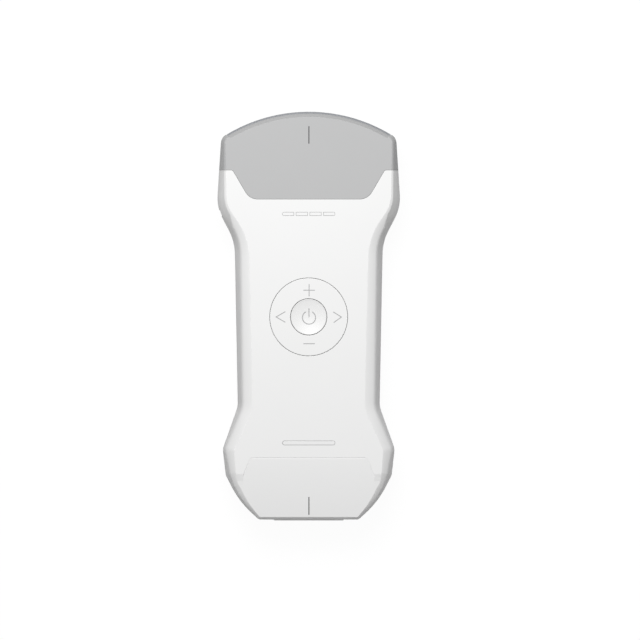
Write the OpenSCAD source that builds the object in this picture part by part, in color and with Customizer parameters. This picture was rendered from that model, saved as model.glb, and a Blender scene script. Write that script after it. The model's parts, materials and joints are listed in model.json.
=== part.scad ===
// Handheld ultrasound scanner with a curved array, lying on its back.
// X is across the scanner, Y runs from the tail to the lens and Z comes out of the face with the keys.
// The origin is at the middle of the footprint, at the level of the back. All sizes are in millimetres.

/* [Case] */
// Length over the lens and the port cover
length = 156.2; // [150:0.1:165]
// Thickness of the case
thickness = 25; // [24.5:0.1:28]
// Wall of the case halves and of the head
wall = 2; // [1.8:0.1:2.2]
// Width over the head's corners at the ends of the lens
head_w = 66.8; // [66.4:0.1:68.4]
// Width where the flanks meet the slope to the neck, before rounding
shoulder_w = 70.2; // [69.8:0.1:74]
// Width where that slope meets the waist
neck_w = 56.6; // [55.8:0.1:59]
// Width at the tail end of the waist
waist_w = 54.2; // [53.8:0.1:56]
// Width over the lower bulge, before rounding
bulge_w = 65.7; // [65:0.1:68]
// Width where the flanks end and the tail starts to taper
flare_w = 63.4; // [62.5:0.1:64.5]
// Width at the middle of the tail's taper
taper_w = 52.9; // [52.6:0.1:54.4]
// Width of the flat tail end, before rounding
tail_w = 38.1; // [37:0.1:41]
// Distance from the lens tip back to the shoulder
shoulder_at = 36.5; // [36:0.1:38]
// Distance from the lens tip back to the neck
neck_at = 49.7; // [49:0.1:52]
// Distance from the port cover up to the tail end of the waist
waist_at = 43.5; // [42:0.1:45]
// Distance from the port cover up to the lower bulge
bulge_at = 27.4; // [26:0.1:28]
// Distance from the port cover up to the start of the tail's taper
flare_at = 17.3; // [16:0.1:18]
// Distance from the port cover up to the middle of the tail's taper
taper_at = 7.1; // [6:0.1:8]
// Rounding of the head's corners
head_r = 4; // [3:0.1:4.4]
// Rounding of the shoulders
shoulder_r = 17; // [10:0.5:20]
// Rounding of the neck
neck_r = 20; // [14:0.5:24]
// Rounding at the tail end of the waist
waist_r = 9.5; // [6:0.5:14]
// Rounding of the lower bulge
bulge_r = 6.5; // [4:0.5:8]
// Rounding where the taper starts
flare_r = 1.5; // [1:0.1:3]
// Rounding of the taper
taper_r = 36; // [30:1:38]
// Rounding of the tail's corners
tail_r = 2; // [1:0.1:3]

/* [Rounded rims] */
// How far the flat face stays inside the lens end of the head
nose_rim_w = 1.4; // [1.2:0.1:2]
// How far the flat face stays inside the flanks at the head's corners
head_rim_w = 2; // [1.8:0.1:2.6]
// How far the flat face stays inside the shoulders
shoulder_rim_w = 4.4; // [4:0.1:5.4]
// How far the flat face stays inside the waist
waist_rim_w = 5.8; // [5:0.1:6.2]
// How far the flat face stays inside the lower bulge
bulge_rim_w = 5; // [4.4:0.1:5.6]
// How far the face would stay inside the taper if it did not slope
taper_rim_w = 6.2; // [5.5:0.1:7]
// How far the face would stay inside the tail end if it did not slope
tail_rim_w = 4.5; // [4:0.1:5]
// Depth of the rounded rim and the drafted flank at the head's corners
head_rim_h = 3.4; // [3:0.1:4]
// The same depth at the shoulders
shoulder_rim_h = 7; // [6:0.1:8]
// The same depth round the waist and the bulge
waist_rim_h = 9.5; // [8:0.1:10]
// The same depth in the middle of the tail's taper, measured from the level of the flat face
taper_rim_h = 12; // [11:0.1:12.2]
// The same depth at the tail's corners
tail_rim_h = 7.5; // [7:0.1:7.9]

/* [Head and tail faces] */
// Distance from the lens tip back to the head's border on the flanks
head_border_at = 22.4; // [21:0.1:24]
// Distance from the lens tip back to the head's border across the face
head_tongue_at = 33.5; // [32:0.1:34]
// Width of the head's border across the face, before rounding
head_tongue_w = 45; // [42:0.5:46]
// Width of the head's border where its slanted sides start
head_slant_w = 58; // [57:0.5:60]
// Rounding of the border's inner corners
head_tongue_r = 5.5; // [3:0.5:6]
// Rounding of the border's outer corners
head_slant_r = 1; // [0.5:0.1:2]
// Distance from the port cover up to the crease of the sloping tail face
facet_at = 24.2; // [23:0.1:25]
// Width of that crease
facet_w = 43.4; // [40:0.1:46]
// Width of the sloping face where it reaches the taper
facet_foot_w = 50; // [48:0.5:54]
// Slope of the tail face in degrees
facet_slope = 7.5; // [6:0.5:8]
// Length of the index notch in the left flank
notch_len = 2.7; // [2:0.1:4]
// Depth of the index notch
notch_depth = 0.5; // [0.3:0.1:0.6]
// Height of the index notch
notch_h = 13; // [8:1:15]
// Distance from the lens tip back to the index notch
notch_at = 38.8; // [38:0.1:39.4]

/* [Lens and array] */
// Radius of the lens in plan
lens_r = 61; // [60:0.5:64]
// How far the lens stands out of the head
lens_proud = 0.8; // [0.5:0.1:1]
// Width of the lens across the array
lens_w = 15.7; // [15:0.1:16]
// Thickness of the lens at its middle
lens_t = 1.1; // [1:0.05:1.3]
// Radius of the lens across the array
lens_cross_r = 45; // [38:1:70]
// How far the ends of the lens stay inside the head's corners
lens_end_w = 2.3; // [2:0.1:3]
// Thickness of the matching layer
matching_t = 0.5; // [0.3:0.05:0.7]
// Thickness of the piezo elements
piezo_t = 0.45; // [0.3:0.05:0.6]
// Number of piezo elements
element_count = 64; // [32:16:128]
// Saw cut between two elements
kerf = 0.08; // [0.05:0.01:0.12]
// How far the ends of the array stay inside the ends of the lens
array_end_w = 1.8; // [1.5:0.1:2.4]
// Width of the elements across the array
array_w = 13; // [12:0.1:13.4]
// Depth of the backing block
backing_depth = 8.5; // [6:0.1:9]
// Thickness of the carrier's web behind the backing
carrier_web = 2.6; // [2:0.1:3]
// Thickness of the carrier's cheeks beside the backing
carrier_cheek = 1.3; // [1:0.1:1.6]
// Radius at which the carrier's two screws sit, measured from the array's centre
carrier_screw_r = 43.2; // [43:0.1:44]
// Thickness of the carrier's lugs
carrier_lug_t = 2; // [1.5:0.1:2.5]
// Radius of the carrier's lugs
carrier_lug_r = 2.9; // [2.6:0.1:3.2]
// Width of the flexible circuits
flex_w = 26; // [20:1:26]
// Thickness of the flexible circuits
flex_t = 0.3; // [0.2:0.05:0.4]

/* [Keys] */
// Diameter of the rocker ring
rocker_d = 29.6; // [28:0.1:30]
// Diameter of the power button
power_d = 13.7; // [13:0.1:14]
// Distance from the middle of the scanner back to the middle of the keys
keys_back = 0.35; // [0:0.05:1]
// Thickness of the ring above its flange
rocker_t = 2.7; // [2.6:0.1:2.8]
// Thickness of the ring's flange
rocker_flange_t = 0.8; // [0.6:0.1:1]
// How far the ring's flange reaches under the case
rocker_flange_w = 1.2; // [0.8:0.1:1.3]
// Radius at which the ring's four pushers sit
pusher_at = 12.2; // [12:0.1:12.4]
// Radius of a pusher
pusher_r = 1.1; // [0.9:0.1:1.2]
// Length of a pusher
pusher_len = 1.3; // [1.2:0.05:1.35]
// Thickness of the ring's carrier
rocker_carrier_t = 0.5; // [0.4:0.05:0.6]
// Outer diameter of the ring's carrier
rocker_carrier_d = 29; // [28:0.5:30]
// Radius of the hole in the ring's carrier
rocker_carrier_hole_r = 8.3; // [8.2:0.1:8.5]
// Height of the carrier's upper pivots
upper_pivot_h = 0.4; // [0.35:0.05:0.5]
// Height of the carrier's lower pivots
lower_pivot_h = 0.6; // [0.55:0.05:0.7]
// Length of a pivot
pivot_len = 1.6; // [1.2:0.1:1.8]
// Width of a pivot
pivot_w = 1; // [0.8:0.1:1.2]
// Radius at which the pivots sit
pivot_at = 9.4; // [9.3:0.1:9.5]
// Radius of the dish in the power button
power_dish_r = 26; // [20:1:40]
// Thickness of the power button's flange
power_flange_t = 0.6; // [0.5:0.05:0.7]
// How far the power button's flange reaches under the ring
power_flange_w = 0.85; // [0.7:0.05:0.9]
// Wall of the power button round its hollow
power_wall = 1.2; // [1:0.1:1.5]
// Radius of the power button's stem
power_stem_r = 1.5; // [1:0.1:2]
// Travel of the power button
power_travel = 0.4; // [0.3:0.05:0.42]
// Thickness of the membrane
membrane_t = 1.2; // [1.1:0.1:1.4]
// Thickness of the rim that clamps the membrane
clamp_rim_t = 1.4; // [1:0.1:1.6]
// Radius of a switch dome
dome_r = 2; // [1.6:0.1:2.2]
// Height of a switch dome
dome_h = 0.35; // [0.3:0.05:0.4]
// Thickness of a switch dome's sheet
dome_t = 0.12; // [0.08:0.01:0.15]

/* [Lights] */
// Length over the four battery lights
battery_lights_l = 20; // [19:0.1:21]
// Width of the battery lights
battery_lights_w = 1.2; // [1.2:0.1:1.8]
// Gap between two battery lights
battery_lights_gap = 0.95; // [0.8:0.05:1.2]
// Number of battery lights
battery_lights_count = 4; // [3:1:5]
// Distance from the lens tip back to the battery lights
battery_lights_at = 39.15; // [38.8:0.05:39.6]
// Length of the status light
status_light_l = 20; // [18:0.1:21]
// Width of the status light
status_light_w = 1.5; // [1.5:0.1:2]
// Distance from the port cover up to the status light
status_light_at = 29.7; // [29:0.1:30.2]
// How far the light guides' blocks reach past their windows
guide_lip = 0.7; // [0.5:0.1:1]
// Number of lamps behind the status light
status_lamp_count = 2; // [1:1:3]
// Length of a lamp
lamp_l = 1.6; // [1.2:0.1:2]
// Width of a lamp
lamp_w = 0.8; // [0.6:0.1:1]
// Height of a lamp
lamp_h = 0.6; // [0.5:0.05:0.7]

/* [Charging port] */
// Width of the port cover
cover_w = 26.6; // [24:0.1:28]
// Height of the port cover
cover_h = 8.4; // [7.6:0.1:8.6]
// Thickness of the port cover
cover_t = 2; // [1.9:0.1:2.2]
// How far the port cover stands out of the tail
cover_proud = 0.4; // [0.3:0.05:0.5]
// Radius of the cover's hinge pin
cover_pin_r = 0.35; // [0.3:0.05:0.4]
// How far the hinge pin reaches into the case at each end
cover_pin_seat = 1.5; // [1.2:0.1:2]
// Radius of the nail groove in the cover
cover_grip_r = 0.75; // [0.5:0.05:0.9]
// Width of the nail groove in the cover
cover_grip_w = 8; // [6:1:10]
// Thickness of the frame inside the tail that carries the port
port_frame_t = 1.6; // [1.2:0.1:1.8]
// Outer width of the socket
socket_w = 8.94; // [8.9:0.02:9]
// Outer height of the socket
socket_h = 3.26; // [3.2:0.02:3.3]
// Depth of the socket
socket_depth = 7.35; // [7:0.05:8]
// Sheet thickness of the socket
socket_t = 0.3; // [0.25:0.05:0.35]
// Width of the socket's tongue
tongue_w = 6.69; // [6.5:0.01:6.8]
// Thickness of the socket's tongue
tongue_t = 0.7; // [0.6:0.05:0.8]
// How far the tongue stays behind the socket's mouth
tongue_back = 0.9; // [0.7:0.05:1.2]

/* [Boards] */
// Thickness of the main board and of the analog board
board_t = 1; // [0.8:0.1:1.2]
// Height of their underside above the back of the case
board_at = 9.9; // [9.7:0.1:10.1]
// Width of the boards
board_w = 40; // [38:0.5:40.6]
// Length of the analog board
analog_board_l = 40; // [38:0.5:42]
// Width of the main board at the port
main_board_tail_w = 28; // [24:1:32]
// Length of the main board's taper
main_board_taper = 9; // [7:0.5:11]
// Gap between the two boards
boards_gap = 1.4; // [1:0.1:2]
// Width of the connector between the two boards
link_w = 22; // [16:1:24]
// Length of the connector between the two boards
link_l = 5; // [4:0.5:6]
// Height of the connector between the two boards
link_h = 1.5; // [1.2:0.1:1.8]
// Thickness of the keypad board
keypad_board_t = 1; // [0.8:0.1:1]
// Width of the keypad board
keypad_board_w = 38; // [37.4:0.1:39]
// How far the keypad board reaches past the lights at each end
keypad_board_end = 4.5; // [4:0.5:5.5]
// Side of the largest chips
chip_side = 11.5; // [9:0.5:11.5]
// Side of the small chips
small_chip_side = 8; // [6:0.5:9]
// Height of the chips
chip_h = 1.4; // [1:0.1:1.6]
// Thickness of the thermal pads
pad_t = 1.4; // [1.2:0.1:1.6]
// Thickness of the heat spreader
spreader_t = 0.8; // [0.6:0.1:1]
// Width of the heat spreader
spreader_w = 38; // [36:0.5:39]
// Length of the shield can
shield_l = 13; // [10:0.5:14]
// Width of the shield can
shield_w = 15; // [12:0.5:17]
// Height of the shield can
shield_h = 2; // [1.6:0.1:2.2]
// Sheet thickness of the shield can and of the antenna
sheet_t = 0.3; // [0.2:0.05:0.4]
// Length of the antenna
antenna_l = 12; // [9:0.5:13]
// Width of the antenna's upper face
antenna_w = 4; // [3:0.5:5]
// Height of the antenna
antenna_h = 3.6; // [3:0.1:4.2]
// Width of the flexible cable to the keypad board
keypad_cable_w = 8; // [5:0.5:10]

/* [Battery] */
// Width of the battery cell
cell_w = 38; // [34:0.5:38.5]
// Thickness of the battery cell
cell_t = 6; // [5:0.1:6.4]
// Distance from the lens tip back to the battery cell
cell_at = 58; // [57.5:0.5:60]
// Distance from the port cover up to the battery cell
cell_tail_at = 38.2; // [38:0.1:44]
// Wall of the battery cradle
cradle_wall = 1.2; // [0.8:0.1:1.6]
// Thickness of the foam floor in the cradle
cradle_floor = 0.5; // [0.3:0.05:0.6]
// Height of the battery cradle
cradle_h = 5; // [4:0.5:5.5]
// Radius of a battery wire
wire_r = 0.6; // [0.4:0.1:0.8]
// Distance between the battery wires
wire_pitch = 2; // [1.8:0.1:2.4]
// Length of the battery's connector
battery_plug_l = 4; // [3:0.5:5]
// Width of the battery's connector
battery_plug_w = 7.5; // [6.5:0.5:9]
// Height of the battery's connector
battery_plug_h = 2.4; // [2:0.1:2.6]

/* [Fasteners] */
// Distance between the left and the right case screws
case_screw_w = 49.2; // [49:0.1:49.8]
// Distance from the lens tip back to the case screws at the head
case_screw_head_at = 42; // [41:0.1:42.5]
// Distance from the port cover up to the case screws at the tail
case_screw_tail_at = 28.2; // [27:0.1:29]
// Radius of a case screw's shank
case_screw_r = 1.25; // [1:0.05:1.3]
// Radius of a case screw's head
case_screw_head_r = 2.3; // [2:0.05:2.4]
// Height of a case screw's head
case_screw_head_h = 1.5; // [1.2:0.1:1.8]
// Depth of the wells of the case screws
well_depth = 5; // [4.5:0.1:5.5]
// Radius of the wells of the case screws
well_r = 2.7; // [2.6:0.05:2.8]
// Thickness of the plugs in the wells
plug_t = 1.6; // [1.2:0.1:2]
// Radius of the bosses round the wells
well_boss_r = 3.9; // [3.8:0.1:4]
// Radius of the bosses of the front half
insert_boss_r = 3.2; // [3:0.1:3.6]
// Radius of a threaded insert
insert_r = 1.75; // [1.7:0.05:1.9]
// Length of a threaded insert
insert_len = 5; // [4:0.5:6]
// How far a case screw reaches past its insert
screw_overreach = 0.8; // [0.4:0.1:1]
// Thickness of the head's lugs between the two case halves
head_lug_t = 1.8; // [1.4:0.1:2.2]
// Radius of a board screw's shank
board_screw_r = 1; // [0.8:0.05:1.1]
// Radius of a board screw's head
board_screw_head_r = 1.9; // [1.7:0.1:2]
// Height of a board screw's head
board_screw_head_h = 1.2; // [1:0.1:1.3]
// Radius of the posts and spacers of the boards
post_r = 2.2; // [2:0.1:2.4]
// How far a board screw reaches into its post
board_screw_grip = 4.5; // [3:0.5:5.5]
// Distance between the left and the right board screws
board_screw_w = 32; // [31:0.5:33]
// Distance from the lens tip back to the board screws behind the head
board_screw_head_at = 30; // [29.5:0.5:30.5]
// Distance from the lens tip back to the board screws at the neck
board_screw_neck_at = 53; // [52:0.5:53.5]
// Distance from the port cover up to the board screws at the tail
board_screw_tail_at = 30.2; // [29.5:0.1:30.7]
// Radius of a keypad screw's shank
keypad_screw_r = 0.8; // [0.7:0.05:0.9]
// Radius of a keypad screw's head
keypad_screw_head_r = 1.5; // [1.3:0.1:1.6]
// Height of a keypad screw's head
keypad_screw_head_h = 0.8; // [0.6:0.1:1]
// Radius of the keypad board's posts
keypad_post_r = 2; // [1.7:0.1:2.2]
// Distance between the left and the right keypad screws
keypad_screw_w = 28; // [26:0.5:30]

/* [Seals and fits] */
// Seam between the head and the case halves
seam = 0.2; // [0.1:0.05:0.3]
// Width of the case gasket
gasket_w = 0.7; // [0.5:0.05:0.8]
// Height of the case gasket
gasket_h = 1.2; // [0.8:0.1:1.6]
// How far the case gasket stays inside the outer face
gasket_inset = 0.75; // [0.7:0.05:0.85]
// Width of the gasket behind the head's seam
head_gasket_w = 2.6; // [2:0.1:3]
// Thickness of the gasket behind the head's seam
head_gasket_t = 0.9; // [0.6:0.1:1]
// Clearance round the keys
key_gap = 0.3; // [0.25:0.05:0.35]
// Clearance of a piece that is laid or clipped in place
lay_gap = 0.1; // [0.05:0.05:0.12]
// Clearance round screws, pins and inserts
screw_gap = 0.05; // [0.03:0.01:0.06]
// Bond line between the layers of the array
bond = 0.03; // [0.02:0.01:0.05]

/* [Detail] */
// Steps along half of the lens curve
nose_steps = 14; // [8:2:24]
// Facets of round pieces
round_facets = 48; // [24:8:96]

/* [Hidden] */
$fn = round_facets;
// Overrun of a cut past the surface it opens
over = 1;
// How far a boss is rooted in the wall that carries it
root = 0.6;

// Levels and places that several pieces share
mid_z = thickness / 2;
tip_y = length / 2;
arc_y = tip_y - lens_r;
nose_r = lens_r - lens_proud;
// The head's corners stand as far out as the ends of the lens
corner_circle_r = lens_r - lay_gap;
tail_y = cover_proud - length / 2;
front_in_z = thickness - wall;
function from_tip(distance) = tip_y - distance;
function from_tail(distance) = distance - length / 2;
keys_y = -keys_back;

// Corners of the right half of the case, from the head to the tail
case_corners = [
    [head_w / 2, arc_y + sqrt(corner_circle_r ^ 2 - (head_w / 2) ^ 2)],
    [shoulder_w / 2, from_tip(shoulder_at)],
    [neck_w / 2, from_tip(neck_at)],
    [waist_w / 2, from_tail(waist_at)],
    [bulge_w / 2, from_tail(bulge_at)],
    [flare_w / 2, from_tail(flare_at)],
    [taper_w / 2, from_tail(taper_at)],
    [tail_w / 2, tail_y]
];
corner_radii = [head_r, shoulder_r, neck_r, waist_r, bulge_r, flare_r, taper_r, tail_r];
corner_steps = [4, 6, 6, 4, 4, 2, 5, 3];
// Width of the rounded rim at each corner
rim_ws = [
    head_rim_w, shoulder_rim_w, waist_rim_w, waist_rim_w, bulge_rim_w, bulge_rim_w, taper_rim_w, tail_rim_w
];
// Depth of the rounded rim and the drafted flank at each corner
rim_hs = [
    head_rim_h, shoulder_rim_h, waist_rim_h, waist_rim_h, waist_rim_h,
    (waist_rim_h + taper_rim_h) / 2, taper_rim_h, tail_rim_h
];
// Section from the foot of the drafted flank over the rounding and the bevel to the flat face:
// shares of the rim's width and of its depth
rim_w_shares = [0, 0.27, 0.34, 0.5, 0.92, 1];
rim_h_shares = [1, 0.34, 0.24, 0.145, 0.02, 0];
// The least rounding that an inset corner keeps, as a share of its own
least_r_share = 0.25;
// How much further the hollow's flat face stays inside than the case's, as a share of the wall
hollow_rim_share = 0.4;

function unit(v) = v / norm(v);
function inward(v) = [v.y, -v.x];
function side_way(i) =
    unit((i == len(case_corners) - 1 ? [0, tail_y] : case_corners[i + 1]) - case_corners[i]);

// Corners moved inwards: one inset for the nose, and one for each corner
function inset_corner(i, nose_inset, insets) =
    i == 0 ?
        let (x = case_corners[0].x - insets[0])
        [x, arc_y + sqrt((corner_circle_r - nose_inset) ^ 2 - x ^ 2)] :
        let (
            u = side_way(i - 1),
            v = side_way(i),
            p = case_corners[i] + inward(u) * insets[i],
            q = case_corners[i] + inward(v) * insets[i]
        )
        p + u * cross(q - p, v) / cross(u, v);

// An arc that rounds the corner at p between the directions u and v
function rounded(p, u, v, r, steps) =
    let (
        way = cross(u, v) > 0 ? 1 : -1,
        turn = acos(min(1, u * v)),
        start = p - u * r * tan(turn / 2),
        centre = start + way * [-u.y, u.x] * r,
        from = start - centre
    )
    [for (k = [0:steps])
        let (a = way * turn * k / steps)
        centre + [from.x * cos(a) - from.y * sin(a), from.x * sin(a) + from.y * cos(a)]];

// The right half of the outline, from the tip of the nose to the tail's corner
function half_outline(nose_inset, insets) =
    let (
        corners = [for (i = [0:len(case_corners) - 1]) inset_corner(i, nose_inset, insets)],
        r_nose = nose_r - nose_inset,
        r_corner = corner_circle_r - nose_inset,
        end = asin(corners[0].x / r_corner),
        ends = concat(corners, [[0, corners[len(corners) - 1].y]]),
        ways = concat(
            [[cos(end), -sin(end)]],
            [for (i = [0:len(corners) - 1]) unit(ends[i + 1] - ends[i])]
        ),
        radii = [for (i = [0:len(corners) - 1])
            cross(ways[i], ways[i + 1]) > 0 ?
                corner_radii[i] + insets[i] :
                max(corner_radii[i] - insets[i], corner_radii[i] * least_r_share)],
        lead = radii[0] * tan(acos(ways[0] * ways[1]) / 2),
        nose_end = end - lead / r_corner * 180 / PI
    )
    concat(
        [for (k = [0:nose_steps - 1])
            let (a = nose_end * k / nose_steps)
            [r_nose * sin(a), arc_y + r_nose * cos(a)]],
        [for (i = [0:len(corners) - 1])
            each rounded(corners[i], ways[i], ways[i + 1], radii[i], corner_steps[i])]
    );

// The rim's depth at each point of a half outline
half_rims = concat(
    [for (k = [1:nose_steps]) head_rim_h],
    [for (i = [0:len(rim_hs) - 1]) each [for (k = [0:corner_steps[i]]) rim_hs[i]]]
);

// A half outline with its mirror image, as one closed loop
function loop_of(half) =
    concat(half, [for (i = [len(half) - 1:-1:1]) [-half[i].x, half[i].y]]);
function rims_loop(half) =
    concat(half, [for (i = [len(half) - 1:-1:1]) half[i]]);
function even_insets(inset) = [for (rim = rim_ws) inset];

// A form with the case's outline and rounded rims, between two flat faces, drawn in rings
module case_form(inset, extra, low_z, high_z) {
    flank = loop_of(half_outline(inset, even_insets(inset)));
    crest = loop_of(half_outline(nose_rim_w + extra, [for (rim = rim_ws) rim + extra]));
    rims = rims_loop(half_rims) * (high_z - low_z) / thickness;
    count = len(flank);
    last = len(rim_w_shares) - 1;
    // Each ring has a share of the rim's width, a share of its depth and the side of the middle it is on
    back_rings = [for (k = [last:-1:0]) [rim_w_shares[k], rim_h_shares[k], -1]];
    front_rings = [for (k = [0:last]) [rim_w_shares[k], rim_h_shares[k], 1]];
    rings = concat(back_rings, front_rings);
    points = [for (ring = rings, i = [0:count - 1])
        let (
            place = flank[i] + (crest[i] - flank[i]) * ring[0],
            z = ring[2] > 0 ? high_z - ring[1] * rims[i] : low_z + ring[1] * rims[i]
        )
        [place.x, place.y, z]];
    bands = [for (k = [0:len(rings) - 2], i = [0:count - 1])
        let (
            a = k * count + i,
            b = k * count + (i + 1) % count
        )
        each [[a, b, b + count], [a, b + count, a + count]]];
    top = (len(rings) - 1) * count;
    caps = concat(cap_of(count, top, false), cap_of(count, 0, true));
    polyhedron(points, concat(bands, caps), convexity = 6);
}

// One half of the case as a cup: its outer and its inner surface, joined along the parting line.
// The inner surface follows the slope of the tail face.
module case_cup() {
    flank = loop_of(half_outline(0, even_insets(0)));
    crest = loop_of(half_outline(nose_rim_w, rim_ws));
    in_flank = loop_of(half_outline(wall, even_insets(wall)));
    in_rim = wall * hollow_rim_share;
    in_crest = loop_of(half_outline(nose_rim_w + in_rim, [for (rim = rim_ws) rim + in_rim]));
    rims = rims_loop(half_rims);
    in_rims = rims * (front_in_z - mid_z) / mid_z;
    count = len(flank);
    last = len(rim_w_shares) - 1;
    outer = [for (k = [0:last], i = [0:count - 1])
        let (place = flank[i] + (crest[i] - flank[i]) * rim_w_shares[k])
        [place.x, place.y, thickness - rim_h_shares[k] * rims[i]]];
    inner = [for (k = [last:-1:0], i = [0:count - 1])
        let (
            place = in_flank[i] + (in_crest[i] - in_flank[i]) * rim_w_shares[k],
            sink = max(0, from_tail(facet_at) - in_crest[i].y) * tan(facet_slope)
        )
        [place.x, place.y, front_in_z - sink - rim_h_shares[k] * (in_rims[i] - sink)]];
    points = concat(
        [for (p = flank) [p.x, p.y, mid_z]], outer, inner,
        [for (p = in_flank) [p.x, p.y, mid_z]]
    );
    top = (last + 1) * count;
    ring_count = 2 * last + 4;
    bands = [for (k = [0:ring_count - 1], i = [0:count - 1])
        let (
            a = k * count + i,
            b = k * count + (i + 1) % count,
            c = (k + 1) % ring_count * count - k * count
        )
        if (k != last + 1) each [[a, b, b + c], [a, b + c, a + c]]];
    caps = concat(cap_of(count, top, false), cap_of(count, top + count, true));
    polyhedron(points, concat(bands, caps), convexity = 6);
}

// The strips that close a ring of a form, from the nose to the tail
function cap_of(count, first, turned) =
    [for (i = [0:(count - 3) / 2])
        let (
            t = count - i - 1,
            strip = i == 0 ? [i, i + 1, t] : [i, i + 1, t, t + 1],
            size = len(strip)
        )
        [for (k = [0:size - 1]) first + strip[turned ? size - 1 - k : k]]];

// A flat polygon whose corners are rounded: each corner is a point and a radius
function rounded_loop(corners, steps) =
    let (count = len(corners))
    [for (i = [0:count - 1])
        let (
            p = corners[i][0],
            u = unit(p - corners[(i + count - 1) % count][0]),
            v = unit(corners[(i + 1) % count][0] - p)
        )
        each corners[i][1] == 0 ? [p] : rounded(p, u, v, corners[i][1], steps)];

// The plan area of the head, grown towards the tail by a distance
border_steps = 6;
module head_area(grow) {
    slant = unit([head_slant_w - head_tongue_w, 2 * (head_tongue_at - head_border_at)]);
    shift = grow * (1 - slant.x) / slant.y;
    wide = shoulder_w;
    side_y = from_tip(head_border_at) - grow;
    tongue_y = from_tip(head_tongue_at) - grow;
    outer = head_slant_w / 2 + shift;
    inner = head_tongue_w / 2 + shift;
    polygon(rounded_loop([
        [[wide, length], 0],
        [[wide, side_y], 0],
        [[outer, side_y], head_slant_r],
        [[inner, tongue_y], head_tongue_r],
        [[-inner, tongue_y], head_tongue_r],
        [[-outer, side_y], head_slant_r],
        [[-wide, side_y], 0],
        [[-wide, length], 0]
    ], border_steps));
}

// What the sloping tail face takes off the front, and its mirror image off the back
module facet_cutter() {
    crease_y = from_tail(facet_at);
    foot_y = from_tail(flare_at);
    wide = shoulder_w;
    intersection() {
        linear_extrude(thickness * 2)
            polygon([
                [facet_w / 2, crease_y], [facet_foot_w / 2, foot_y], [wide, foot_y], [wide, -length],
                [-wide, -length], [-wide, foot_y], [-facet_foot_w / 2, foot_y], [-facet_w / 2, crease_y]
            ]);
        translate([0, crease_y, thickness])
            rotate([facet_slope, 0, 0])
                translate([-wide, -length, 0])
                    cube([2 * wide, length * 2, thickness]);
    }
}

// Turns a piece of the front over to the back
module turn_over() {
    translate([0, 0, thickness])
        mirror([0, 0, 1])
            children();
}
module both_sides() {
    children();
    mirror([1, 0, 0]) children();
}
module post(r, low, high) {
    translate([0, 0, low])
        cylinder(r = r, h = high - low);
}
module block(w, l, low, high) {
    translate([-w / 2, -l / 2, low])
        cube([w, l, high - low]);
}
module stadium(l, w, low, high) {
    block(l - w, w, low, high);
    for (side = [-1, 1])
        translate([side * (l - w) / 2, 0, 0]) post(w / 2, low, high);
}

// Screw places
case_screw_head_y = from_tip(case_screw_head_at);
case_screw_tail_y = from_tail(case_screw_tail_at);
case_screw_ys = [case_screw_head_y, case_screw_tail_y];
module at_case_screws(ys) {
    for (side = [-1, 1], y = ys)
        translate([side * case_screw_w / 2, y, 0]) children();
}
board_screw_head_y = from_tip(board_screw_head_at);
board_screw_neck_y = from_tip(board_screw_neck_at);
board_screw_tail_y = from_tail(board_screw_tail_at);
board_screw_ys = [board_screw_head_y, board_screw_neck_y, board_screw_tail_y];
module at_board_screws(ys) {
    for (side = [-1, 1], y = ys)
        translate([side * board_screw_w / 2, y, 0]) children();
}
// The keypad screws sit between the keys and the lights: share of the way from the keys to the battery lights
keypad_screw_share = 0.763;
keypad_screw_reach = (from_tip(battery_lights_at) - keys_y) * keypad_screw_share;
module at_keypad_screws() {
    for (x = [-1, 1], y = [-1, 1])
        translate([x * keypad_screw_w / 2, keys_y + y * keypad_screw_reach, 0]) children();
}
module at_array_screws() {
    for (side = [-1, 1])
        translate([0, arc_y, 0])
            rotate([0, 0, side * carrier_screw_angle])
                translate([0, carrier_screw_r, 0]) children();
}

// The charging port
cover_low_z = mid_z - cover_h / 2;
cover_axis_y = -length / 2 + cover_t / 2;
cover_axis_z = mid_z + cover_h / 2 - cover_t / 2;
recess_y = -length / 2 + cover_t + screw_gap;
module port_recess() {
    recess_w = cover_w + 2 * lay_gap;
    translate([-recess_w / 2, -length / 2 - over, cover_low_z - lay_gap])
        cube([recess_w, recess_y + length / 2 + over, cover_h + lay_gap + key_gap]);
    translate([0, recess_y, mid_z])
        rotate([90, 0, 0])
            stadium(socket_w + 2 * lay_gap, socket_h + 2 * lay_gap, -2 * wall, over);
    translate([0, cover_axis_y, cover_axis_z])
        rotate([0, 90, 0])
            post(cover_pin_r + screw_gap, -cover_w / 2 - cover_pin_seat, cover_w / 2 + cover_pin_seat);
}

// Half of the frame that stiffens the tail wall round the port
module port_frame() {
    low_y = tail_y + wall - root;
    high_y = recess_y + port_frame_t;
    translate([0, (low_y + high_y) / 2, 0])
        block(cover_w + 2 * wall, high_y - low_y, mid_z, mid_z + cover_h / 2 + wall);
}

// Levels of the keys, from the front face inwards
rocker_flange_top = thickness - rocker_t;
rocker_low = rocker_flange_top - rocker_flange_t;
carrier_top = rocker_low - lay_gap - upper_pivot_h;
carrier_low = carrier_top - rocker_carrier_t;
membrane_top = carrier_low - lower_pivot_h - lay_gap;
membrane_low = membrane_top - membrane_t;
keypad_top = membrane_low;
keypad_low = keypad_top - keypad_board_t;
rocker_hole_r = rocker_d / 2 + key_gap;
// The membrane is clamped outside the ring's flange
membrane_r = rocker_d / 2 + rocker_flange_w + 2 * key_gap + clamp_rim_t;

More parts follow.
